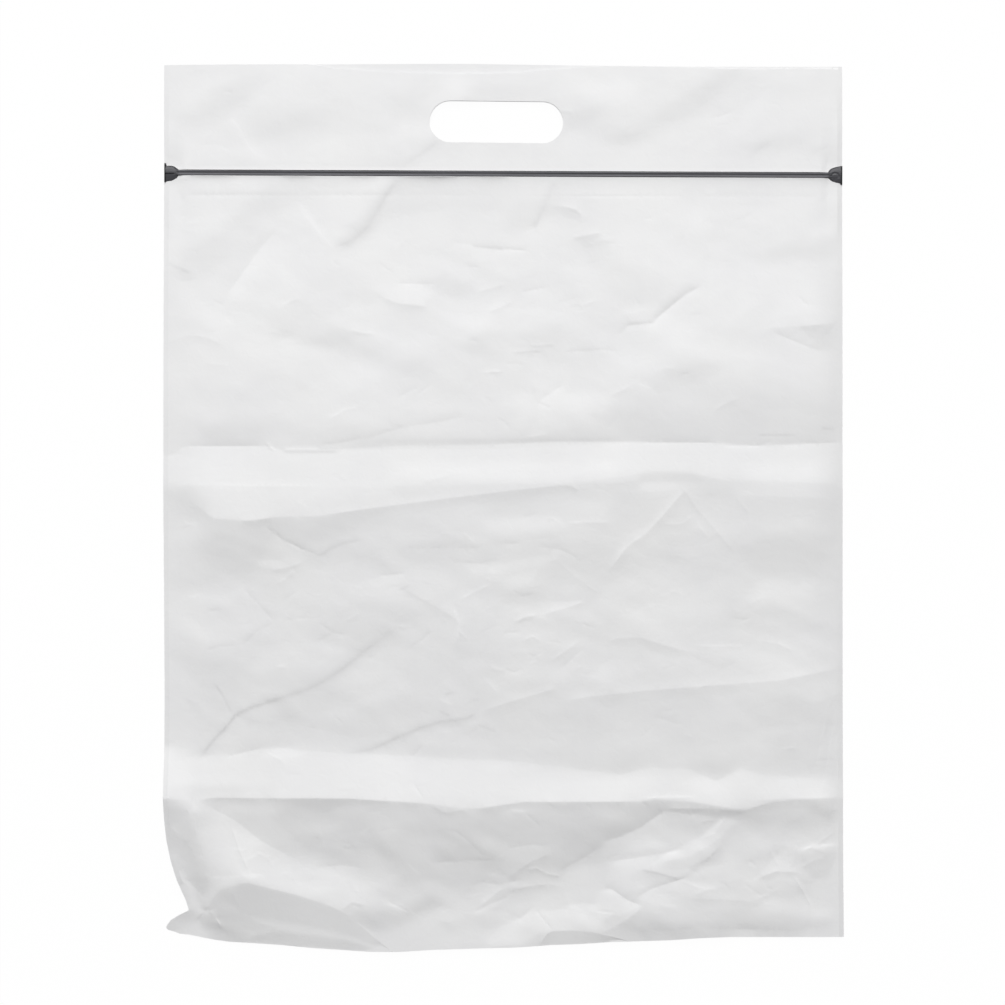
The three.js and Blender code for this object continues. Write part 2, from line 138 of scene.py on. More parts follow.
def line_on_bag(points):
    """Line of pixels to millimetres on the bag."""
    x, y = on_bag([p[0] for p in points], [p[1] for p in points])
    return np.stack([x, y], 1)


def y_at(line, x):
    """How far up the bag a line across it is, at x."""
    return np.interp(x, line[:, 0], line[:, 1])


def x_at(line, y):
    """How far across the bag a line down it is, at y."""
    return np.interp(-y, -line[:, 1], line[:, 0])


def read_off(table, place):
    """Value at a place from a table of (place, value)."""
    return np.interp(place, [p for p, _ in table], [value for _, value in table])


def smooth(t):
    """From 0 to 1 as t does, with no corner at either end."""
    t = np.clip(t, 0, 1)
    return t * t * (3 - 2 * t)


# ---------------------------------------------------------------- the lying bag, in pixels

MOUTH_LINE = [(164, 65), (300, 64.3), (430, 63.6), (470, 63.6), (560, 65), (700, 66.4), (842.3, 66.5)]
RIGHT_EDGE = [(842.3, 66.5), (842.3, 400), (842.6, 700), (843.2, 850), (844, 937)]
FOOT_LINE = [(166, 928), (168, 930), (175, 932), (180, 934), (190, 935), (200, 937), (215, 940), (230, 942),
             (250, 943), (280, 945), (310, 948), (340, 950), (370, 952), (400, 952), (430, 950), (460, 949),
             (490, 948), (520, 947), (550, 945), (580, 944), (610, 942), (640, 941), (670, 940), (700, 938),
             (730, 937), (844, 937)]
LEFT_EDGE = [(164, 65), (163.8, 480), (164.8, 700), (164, 800), (165, 820), (167, 840), (171, 860), (177, 880),
             (186, 900), (189, 910), (179, 915), (171, 920), (167, 925), (166, 928)]
# The last points of the left edge go round the folded-out corner; the pocket is pinched off beside it, and its foot
# keeps off its corners
EAR_POINTS = 6
PINCH_ROW = 897
PINCH = [(212, 905), (214, 934)]
OFF_CORNER = 1

# Hand hole: centres of its two round ends, and their radius
HOLE_ENDS = [(450.3, 121.6), (542.3, 122.6)]
HOLE_RADIUS, HOLE_STEPS = 12.5, 32

# Front lip, hanging a little lower than the back lip, and the height of the back lip
LIP_LINE = [(296, 62), (330, 68.5), (385, 72.5), (430, 73.5), (480, 74), (520, 73), (555, 69.5), (600, 66.4),
            (640, 66.6), (700, 68.6), (760, 69.4), (838, 69)]
LIP_CUT = [(838, 56), (296, 56)]
BACK_LIP = 0.55

# Gusset: row of its inner fold, row past the foot that its leaves are cut from, and the grid of the cut
INNER_FOLD_ROW, PAST_FOOT_ROW = 799, 985
GUSSET_HALF, GUSSET_COLUMNS, GUSSET_ROWS = 206, 84, 24
# The slit between the leaves keeps off the rims of the opened gusset and off the welds, and stays under what the
# front wall does within a reach; the pocket keeps off the openings by a wall
RIM_MARGIN, SLIT_OFF_WELD, SLIT_REACH = 4, 0.5, 4.0
RIM_WALL = 4.5

# Where the gusset stands open: rim of the front fold and its lower left end, in pixels, within how many millimetres
# of its left and right end the leaf behind it closes up to the rim, and how the leaf falls from rim (share 1) to foot
OPENED_CORNER = dict(rim=[(209, 903), (215, 894), (224, 887.5), (236, 883), (248, 881.5), (262, 885), (300, 895),
                          (330, 905), (345, 912), (360, 924), (375, 938), (394, 953)],
                     side=[(209, 903), (222, 928), (226, 958)], ends=(0.1, 22),
                     fall=[(0, 0.06), (0.26, 0.36), (0.42, 0.43), (1, 1)])
OPENED_LENS = dict(rim=[(522, 952), (531, 943), (540, 934), (550, 930.5), (575, 929.8), (595, 932), (615, 937),
                        (636, 943)],
                   side=[(522, 952), (524, 958)], ends=(12, 36), fall=[(0, 0.5), (1, 1)])
OPENINGS = (OPENED_CORNER, OPENED_LENS)
# Cut of an opening: row past the foot, how far it keeps in from the rim's ends, least depth, and its grid
OPENING_ROW, OPENING_IN, OPENING_THIN = 958, 0.15, 0.1
OPENING_COLUMNS, OPENING_ROWS = 80, 24
# Leaf behind a rim: runs over which it sinks at the rim's right end and behind the rim, how far it goes to the
# left of the rim, least depth, how far it stands into the rim, and its rise beside the rim's lower left end
LEAF_END, LEAF_BEHIND, LEAF_LEFT, LEAF_DEPTH, LEAF_OVER = 1.5, 45, 10, 0.5, 0.3
BESIDE_RISE, BESIDE_RUN = 1.6, 20

# Guide lines across the front wall, mouth to foot: pixels and height above the ground, and how far the
# fold there is rounded
GUIDES = [
    ([(164, 65, 1.7), (843, 66, 1.7)], 0),
    ([(164, 120, 2.35), (300, 118, 2.6), (500, 118, 2.6), (700, 118, 2.7), (843, 120, 2.4)], 26),
    ([(164, 156, 2.75), (843, 158, 2.75)], 8), ([(164, 197, 3.1), (843, 197, 3.1)], 8),
    ([(164, 290, 5.2), (300, 300, 6.2), (500, 300, 6.9), (700, 290, 7), (843, 290, 6)], 40),
    # swell above the packing fold
    ([(164, 405, 8.1), (300, 415, 9.4), (420, 424, 9.4), (520, 421, 9.2), (588, 418, 9.1), (612, 402, 9.4),
      (640, 388, 9.7), (690, 372, 9.8), (760, 378, 9.9), (843, 395, 9.1)], 12),
    # packing fold
    ([(164, 455, 7.2), (180, 447, 7.4), (266, 446, 8.4), (283, 450, 8.7), (320, 450, 8.7), (400, 446, 8.6),
      (480, 445, 8.3), (560, 442, 7.6), (640, 442, 6.9), (720, 443, 6.8), (760, 446, 6.8), (800, 443, 6.8),
      (843, 443, 6.6)], 0.5),
    ([(164, 484, 9.1), (190, 486, 9.5), (215, 490, 10.6), (300, 488, 10.9), (400, 486, 11), (510, 484, 10.8),
      (575, 483, 10.3), (640, 474, 8.9), (690, 473, 8.8), (720, 480, 9.1), (843, 484, 9.1)], 2),
    # ridge across the middle
    ([(164, 490, 9.1), (190, 500, 9.4), (215, 518, 11.2), (255, 521, 11.6), (275, 517, 11.5), (320, 516, 11.6),
      (360, 509.5, 11.4), (440, 500, 11.2), (510, 490.5, 10.8), (565, 485.5, 10.35), (576, 489, 10.2),
      (600, 492, 9.9), (640, 492, 8.8), (690, 490, 8.7), (720, 495, 8.9), (843, 498, 8.9)], 0.6),
    ([(164, 575, 6.3), (240, 580, 7.2), (300, 570, 8.1), (360, 562, 8.4), (440, 555, 8.2), (520, 550, 8),
      (600, 565, 7.3), (680, 575, 6.7), (760, 570, 6.4), (843, 575, 6.1)], 14),
    ([(164, 660, 5.1), (240, 660, 5.9), (300, 650, 6.7), (380, 640, 7.2), (460, 650, 6.9), (550, 650, 6.7),
      (640, 650, 6.1), (720, 640, 5.9), (843, 645, 5.4)], 20),
    # oblique fold of the lower middle
    ([(164, 705, 4.5), (250, 712, 4.8), (340, 735, 4.6), (390, 738, 4.7), (440, 720, 5.1), (480, 711, 5.4),
      (555, 688, 6.1), (570, 699, 5.9), (585, 696, 6), (680, 688, 6), (780, 680, 5.9), (843, 668, 5.5)], 1),
    # valley above the gusset ridge
    ([(164, 757, 3.9), (205, 756, 4.1), (240, 752, 4.3), (275, 747, 4.4), (330, 752, 4.6), (420, 756, 4.7),
      (500, 760, 4.6), (560, 766, 4.5), (620, 774, 4.3), (650, 767, 4.3), (690, 770, 4.3), (716, 781, 4.3),
      (740, 768, 4.3), (760, 774, 4.3), (800, 777, 4.2), (843, 778, 4.1)], 2.5),
    # ridge over the gusset's inner fold
    ([(164, 799, 7.2), (198, 799, 7.8), (207, 797.5, 7.9), (260, 797.5, 8.1), (345, 797.5, 8.2), (400, 800, 8.2),
      (433, 803, 8.1), (450, 806, 8.1), (480, 808, 8.1), (510, 803, 8), (525, 800.5, 7.8), (640, 801, 7),
      (655, 799, 6.8), (690, 801, 6.6), (720, 806, 6.7), (745, 809, 6.6), (770, 802, 6.2), (800, 799, 5.8),
      (843, 798, 5.5)], 0.7),
    ([(164, 850, 7.5), (200, 810, 8.4), (235, 826, 6.2), (265, 842, 5), (300, 860, 3.6), (345, 866, 3.7),
      (430, 880, 5), (500, 876, 5.2), (560, 872, 4.9), (620, 846, 4.4), (660, 824, 4.8), (700, 828, 4.6),
      (760, 828, 4.2), (843, 832, 3.6)], 5),
    # rim of the opened gusset, then the foot's folds
    ([(164, 900, 3.2), (209, 903, 6.2), (222, 889, 7.4), (240, 882, 7.6), (250, 882, 7.4), (300, 895, 5.8),
      (330, 905, 5), (345, 912, 4.4), (360, 925, 3.6), (390, 946, 2.6), (440, 925, 4.7), (500, 905, 5.2),
      (560, 893, 4.7), (620, 890, 4), (690, 880, 3.6), (760, 880, 3.5), (843, 880, 3)], 3),
    ([(164, 940, 1.2), (209, 940, 1.2), (300, 952, 1.2), (390, 956, 2), (460, 952, 3), (520, 950, 3),
      (560, 948, 2.4), (620, 944, 1.9), (730, 940, 1.7), (843, 940, 1.7)], 0),
]
# Guide lines of the wall below the zip, least distance between two of them, and least rounding
WALL_GUIDES = slice(4, -1)
GUIDE_GAP, LEAST_ROUND = 0.6, 0.05

# Facets: outline in pixels, tilt in degrees (towards the mouth is plus), softness of the edge in pixels
FACETS = [
    # header
    ([(165, 112), (198, 112), (212, 92), (240, 78), (262, 80), (250, 100), (235, 112), (215, 118), (190, 132),
      (165, 132)], -3, 9),
    ([(245, 120), (262, 139), (282, 138), (302, 130), (322, 122), (300, 110), (270, 104), (250, 106)], -2.2, 9),
    ([(186, 78), (208, 80), (200, 96), (188, 106)], 1.5, 9),
    ([(385, 94), (430, 88), (428, 118), (395, 118)], -1.5, 9),
    ([(440, 66), (470, 66), (466, 96), (446, 98)], 2.5, 8), ([(472, 86), (548, 86), (548, 103), (472, 100)], -2, 6),
    ([(603, 142), (640, 122), (690, 92), (722, 72), (742, 72), (700, 112), (660, 130), (622, 150)], -3, 8),
    ([(563, 112), (602, 108), (596, 120), (565, 131)], -3, 5),
    ([(575, 84), (640, 76), (635, 96), (590, 106)], 2, 9),
    ([(752, 160), (764, 140), (800, 130), (812, 142), (790, 160)], -1.8, 9),
    ([(720, 140), (752, 100), (770, 92), (740, 150)], 1.3, 9),
    ([(490, 150), (550, 150), (545, 166), (490, 166)], -1.3, 6),
    ([(300, 136), (345, 128), (352, 156), (310, 160)], 1.2, 10),
    # upper wall, mostly left
    ([(165, 268), (190, 246), (222, 230), (250, 200), (270, 190), (303, 188), (285, 206), (262, 218), (255, 236),
      (235, 256), (205, 278), (168, 285)], -3, 9),
    ([(190, 244), (222, 240), (222, 258), (196, 264)], -1.5, 8),
    ([(168, 196), (188, 194), (192, 232), (172, 240)], 1.2, 8),
    ([(318, 188), (372, 184), (362, 214), (340, 232), (324, 216)], 1.2, 8),
    ([(412, 178), (392, 180), (375, 200), (345, 232), (336, 246), (345, 251), (372, 238), (397, 212),
      (414, 190)], -2.2, 6),
    ([(769, 331), (837, 323), (837, 340), (816, 352)], -2, 4),
    ([(398, 180), (440, 178), (436, 194), (400, 200)], -2.5, 5),
    ([(466, 178), (505, 178), (505, 192), (470, 192)], -2.5, 5),
    ([(415, 284), (440, 276), (470, 285), (478, 294), (455, 299), (430, 291)], -3, 5),
    ([(372, 287), (398, 283), (434, 285), (430, 296), (424, 306), (400, 304), (384, 298)], 1.6, 4),
    ([(330, 368), (375, 362), (400, 345), (440, 322), (480, 315), (500, 302), (482, 340), (455, 346), (420, 354),
      (380, 380), (348, 392)], 1.8, 8),
    ([(445, 330), (470, 320), (480, 334), (460, 342)], 1.2, 6),
    ([(310, 340), (336, 332), (362, 333), (350, 345), (325, 350)], -2.5, 6),
    ([(226, 322), (244, 324), (244, 345), (230, 345)], -2, 8),
    ([(270, 334), (284, 329), (294, 334), (282, 341)], -4, 4),
    ([(165, 375), (195, 378), (245, 395), (235, 412), (165, 410)], -2, 10),
    ([(230, 280), (262, 250), (300, 262), (280, 300), (236, 312)], 0.7, 12),
    ([(470, 246), (506, 251), (500, 262), (474, 258)], 1.4, 5),
    ([(380, 258), (440, 250), (450, 270), (390, 275)], 0.8, 10),
    ([(468, 345), (480, 330), (492, 335), (480, 352)], -2.2, 5),
    # upper wall, right
    ([(502, 214), (520, 200), (545, 201), (530, 230), (505, 231)], -2.4, 6),
    ([(552, 207), (576, 210), (582, 222), (566, 218)], -3.5, 2),
    ([(572, 236), (598, 233), (601, 239), (613, 243), (608, 248), (585, 248)], -3, 3),
    ([(572, 240), (602, 246), (640, 275), (662, 300), (620, 306), (600, 290), (588, 262)], -2.4, 9),
    ([(640, 330), (668, 314), (705, 290), (720, 300), (700, 330), (660, 350)], 2, 12),
    ([(690, 200), (706, 200), (704, 240), (690, 232)], 1.8, 8),
    ([(766, 250), (800, 242), (838, 242), (834, 259), (800, 259), (770, 258)], -3, 6),
    ([(808, 232), (834, 220), (838, 236), (812, 239)], 3, 5),
    ([(800, 327), (836, 325), (838, 352), (818, 351)], -3.2, 3),
    ([(516, 404), (560, 392), (628, 390), (610, 418), (566, 428), (516, 430)], 1, 12),
    ([(528, 324), (560, 322), (562, 346), (528, 348)], -1.6, 7),
    ([(740, 210), (762, 210), (762, 236), (744, 236)], 1, 8),
    ([(500, 372), (530, 365), (533, 395), (505, 398)], -1, 10),
    ([(640, 382), (684, 366), (716, 362), (716, 372), (690, 384), (660, 394)], -2, 6),
    # packing fold and the band below it
    ([(202, 430), (262, 430), (264, 446), (206, 446)], -3, 7),
    ([(165, 488), (190, 488), (210, 504), (206, 516), (165, 514)], -3.5, 7),
    ([(640, 471), (690, 471), (702, 481), (640, 482)], -3, 4),
    ([(700, 478), (742, 472), (758, 480), (740, 486), (706, 486)], -1.5, 6),
    ([(560, 446), (640, 450), (640, 470), (580, 474)], 1.2, 10),
    ([(800, 452), (838, 452), (836, 480), (800, 478)], 1.5, 10),
    ([(400, 422), (620, 420), (620, 438), (400, 438)], 3, 5),
    # below the zip
    ([(520, 181), (830, 183), (830, 200), (520, 198)], 1.6, 6),
    # middle, left
    ([(165, 548), (215, 538), (215, 588), (165, 592)], -3.4, 8),
    ([(215, 538), (262, 542), (285, 556), (262, 572), (245, 590), (215, 588)], -0.9, 10),
    ([(266, 524), (320, 519), (380, 509), (374, 530), (350, 545), (324, 555), (300, 544)], -1, 5),
    ([(272, 536), (300, 553), (310, 558), (280, 569), (264, 562)], 2.4, 4),
    ([(258, 560), (282, 560), (276, 568), (262, 568)], 1.5, 3),
    ([(172, 522), (200, 520), (196, 540), (174, 540)], 1.8, 8),
    ([(368, 578), (400, 576), (406, 582), (372, 585)], 2.4, 3),
    ([(382, 562), (404, 562), (404, 574), (380, 574)], -1.6, 4),
    ([(320, 566), (352, 562), (350, 572), (322, 574)], 1.5, 4),
    ([(356, 632), (402, 620), (398, 640), (352, 664), (336, 672)], -2.2, 8),
    ([(330, 716), (382, 690), (402, 680), (396, 694), (352, 712)], 2, 7),
    ([(354, 708), (398, 696), (432, 706), (420, 716), (372, 720)], -2, 7),
    ([(262, 650), (300, 645), (300, 665), (264, 668)], 1, 9),
    ([(168, 690), (186, 694), (184, 706), (170, 704)], 2.6, 5),
    ([(400, 640), (440, 640), (450, 665), (404, 668)], 0.9, 10),
    # middle, right
    ([(484, 519), (560, 518), (566, 528), (484, 532)], 3, 5),
    ([(490, 500), (530, 494), (530, 512), (490, 516)], -1.6, 6),
    ([(490, 566), (530, 557), (560, 552), (556, 560), (530, 568), (492, 574)], 3.2, 4),
    ([(466, 566), (498, 565), (496, 573), (474, 572)], 2.6, 3),
    ([(504, 574), (532, 572), (534, 588), (508, 590)], 3, 5),
    ([(498, 592), (542, 590), (540, 604), (500, 606)], -2.4, 5),
    ([(610, 572), (630, 548), (662, 520), (684, 493), (690, 520), (680, 560), (640, 575)], -1.4, 6),
    ([(735, 545), (842, 538), (842, 574), (760, 574)], -2, 10),
    ([(756, 584), (806, 582), (808, 596), (760, 597)], 2.2, 7),
    ([(612, 640), (640, 640), (690, 654), (640, 656)], -1.8, 5),
    ([(692, 648), (742, 648), (792, 660), (798, 676), (760, 672), (730, 656)], 2.2, 6),
    ([(806, 690), (836, 690), (836, 708), (808, 708)], 2.4, 7),
    ([(540, 602), (584, 600), (560, 614), (540, 618)], 2.4, 3),
    ([(640, 600), (720, 604), (716, 630), (644, 630)], 1, 12),
    ([(548, 668), (568, 668), (568, 680), (552, 684)], 2, 5),
    ([(640, 482), (676, 482), (676, 490), (642, 492)], 2.2, 4),
    ([(700, 488), (740, 486), (742, 498), (704, 500)], -1.4, 6),
    ([(764, 692), (842, 686), (842, 776), (770, 768)], -3, 12),
    ([(165, 640), (255, 655), (232, 712), (205, 752), (165, 756)], -2.2, 12),
    # bright band over the gusset
    ([(262, 749), (285, 747), (305, 752), (292, 758), (266, 757)], 2.6, 3),
    ([(620, 776), (642, 764), (660, 772), (654, 790), (626, 790)], 1.6, 6),
    ([(684, 784), (704, 772), (718, 780), (712, 792), (690, 796)], 2, 6),
    ([(662, 756), (684, 756), (690, 770), (674, 774)], 1.6, 5),
    ([(700, 766), (720, 780), (736, 772), (732, 756), (706, 752)], -1.6, 5),
    ([(736, 770), (748, 760), (758, 776), (744, 790)], 1.6, 6),
    ([(780, 780), (796, 778), (796, 796), (782, 796)], 1.4, 4),
    # long soft waves
    ([(280, 522), (390, 508), (500, 497), (612, 492), (612, 540), (500, 545), (390, 548), (290, 552)], 2.6, 12),
    ([(290, 566), (500, 562), (500, 606), (290, 600)], 2, 14),
    ([(504, 345), (838, 345), (838, 405), (640, 420), (504, 415)], 2.2, 14),
    ([(391, 462), (617, 460), (617, 480), (391, 482)], 1.2, 9),
    ([(740, 462), (838, 462), (838, 482), (740, 482)], 2, 6),
    ([(168, 784), (275, 784), (275, 798), (168, 798)], -3, 5),
    ([(278, 803), (500, 806), (500, 822), (278, 820)], -2.6, 6),
    ([(391, 824), (843, 822), (843, 842), (391, 842)], -2.5, 8),
    ([(617, 862), (800, 862), (800, 885), (617, 895)], 2.5, 8),
    ([(504, 900), (720, 900), (720, 920), (504, 920)], 2.2, 8),
    ([(165, 400), (390, 402), (390, 425), (165, 420)], 2, 10),
    ([(504, 396), (617, 392), (617, 422), (504, 426)], 0.6, 12),
    ([(391, 850), (617, 842), (617, 880), (504, 886), (504, 900), (391, 900)], -2.4, 10),
    ([(345, 812), (617, 812), (617, 862), (391, 870)], -2.2, 12),
    # gusset, left
    ([(200, 812), (232, 824), (258, 842), (262, 878), (214, 880), (204, 850)], 2.5, 6),
    ([(240, 868), (290, 866), (345, 868), (420, 886), (422, 904), (352, 902), (300, 893), (252, 880)], 2.5, 6),
    ([(346, 908), (400, 910), (432, 896), (442, 906), (420, 926), (396, 944), (372, 930)], -6.5, 7),
    ([(396, 948), (424, 920), (446, 910), (500, 912), (520, 920), (520, 946)], 4, 6),
    ([(432, 842), (500, 846), (498, 880), (470, 896), (432, 880)], -3.5, 9),
    ([(165, 802), (192, 804), (196, 830), (206, 880), (206, 900), (188, 898), (176, 868), (168, 836)], -10, 5),
    ([(430, 862), (480, 862), (476, 874), (434, 874)], 2.4, 5),
    ([(345, 838), (400, 836), (430, 842), (400, 856), (350, 852)], -1.6, 6),
    # gusset, right
    ([(664, 811), (700, 815), (726, 819), (690, 840), (640, 851), (602, 856), (602, 841), (640, 828)], 3.4, 3),
    ([(724, 816), (734, 820), (720, 838), (690, 856), (652, 864), (672, 850), (700, 836)], 6.5, 3),
    ([(606, 862), (640, 855), (676, 851), (660, 866), (640, 870), (606, 884)], 4, 5),
    ([(642, 870), (682, 878), (692, 868), (724, 845), (722, 864), (702, 868), (680, 879)], -4, 3),
    ([(640, 900), (690, 880), (722, 886), (692, 896), (652, 902)], 3.5, 4),
    ([(754, 880), (765, 870), (790, 872), (796, 850), (786, 845), (770, 862)], 4, 4),
    ([(802, 856), (842, 852), (842, 882), (806, 878)], -4, 4),
    ([(740, 805), (842, 802), (842, 818), (800, 824), (760, 826)], -2.5, 7),
    ([(565, 893), (580, 889), (612, 889), (628, 900), (641, 905), (620, 916), (570, 908)], 6.5, 2),
    ([(490, 930), (522, 916), (560, 908), (610, 914), (600, 930), (540, 932), (525, 944), (490, 946)], 4.5, 4),
    ([(640, 912), (700, 906), (800, 914), (842, 920), (842, 934), (640, 936), (610, 938)], -3, 6),
    ([(816, 886), (840, 884), (840, 912), (820, 914)], 3, 6),
    # soft tones all over the wall
    ([(392, 122), (436, 122), (436, 140), (392, 140)], 2.2, 6),
    ([(395, 262), (612, 262), (612, 338), (395, 338)], 1.3, 12),
    ([(735, 264), (842, 264), (842, 318), (735, 318)], 1.5, 10),
    ([(395, 403), (503, 403), (503, 418), (395, 418)], 1.8, 6),
    ([(520, 398), (560, 392), (612, 394), (606, 414), (560, 424), (520, 420)], 2.4, 9),
    ([(400, 462), (616, 462), (616, 479), (400, 479)], 2, 5),
    ([(735, 483), (842, 483), (842, 498), (735, 498)], 2, 5),
    ([(280, 483), (390, 483), (390, 498), (280, 498)], 1.6, 5),
    ([(395, 503), (610, 500), (600, 520), (500, 538), (395, 538)], 2, 7),
    ([(505, 603), (730, 603), (725, 620), (505, 618)], 2, 6),
    ([(505, 663), (612, 663), (612, 680), (505, 680)], 2.6, 6),
    ([(735, 683), (842, 683), (842, 698), (735, 698)], 1.7, 6),
    ([(395, 703), (612, 712), (612, 738), (395, 738)], -1.4, 6),
    ([(168, 744), (276, 744), (276, 779), (168, 779)], -2.2, 6),
    ([(168, 784), (240, 784), (240, 797), (168, 797)], -2.4, 5),
    ([(510, 763), (730, 763), (730, 778), (510, 778)], -2, 5),
    ([(395, 822), (500, 822), (500, 838), (395, 838)], -1.7, 6),
    ([(620, 824), (728, 824), (728, 838), (620, 838)], -1.7, 6),
    ([(620, 884), (728, 884), (728, 918), (620, 918)], 1.8, 6),
    ([(505, 903), (612, 903), (612, 918), (505, 918)], 1.7, 6),
    ([(640, 924), (842, 924), (842, 936), (640, 936)], -1.8, 5),
    ([(760, 896), (800, 900), (800, 912), (762, 910)], 2, 5),
    ([(500, 872), (545, 856), (600, 842), (600, 860), (560, 882), (510, 890)], -2.6, 7),
    ([(500, 884), (560, 884), (566, 890), (530, 902), (500, 904)], -3, 4),
    ([(738, 824), (800, 828), (800, 850), (740, 846)], 1.5, 8),
]

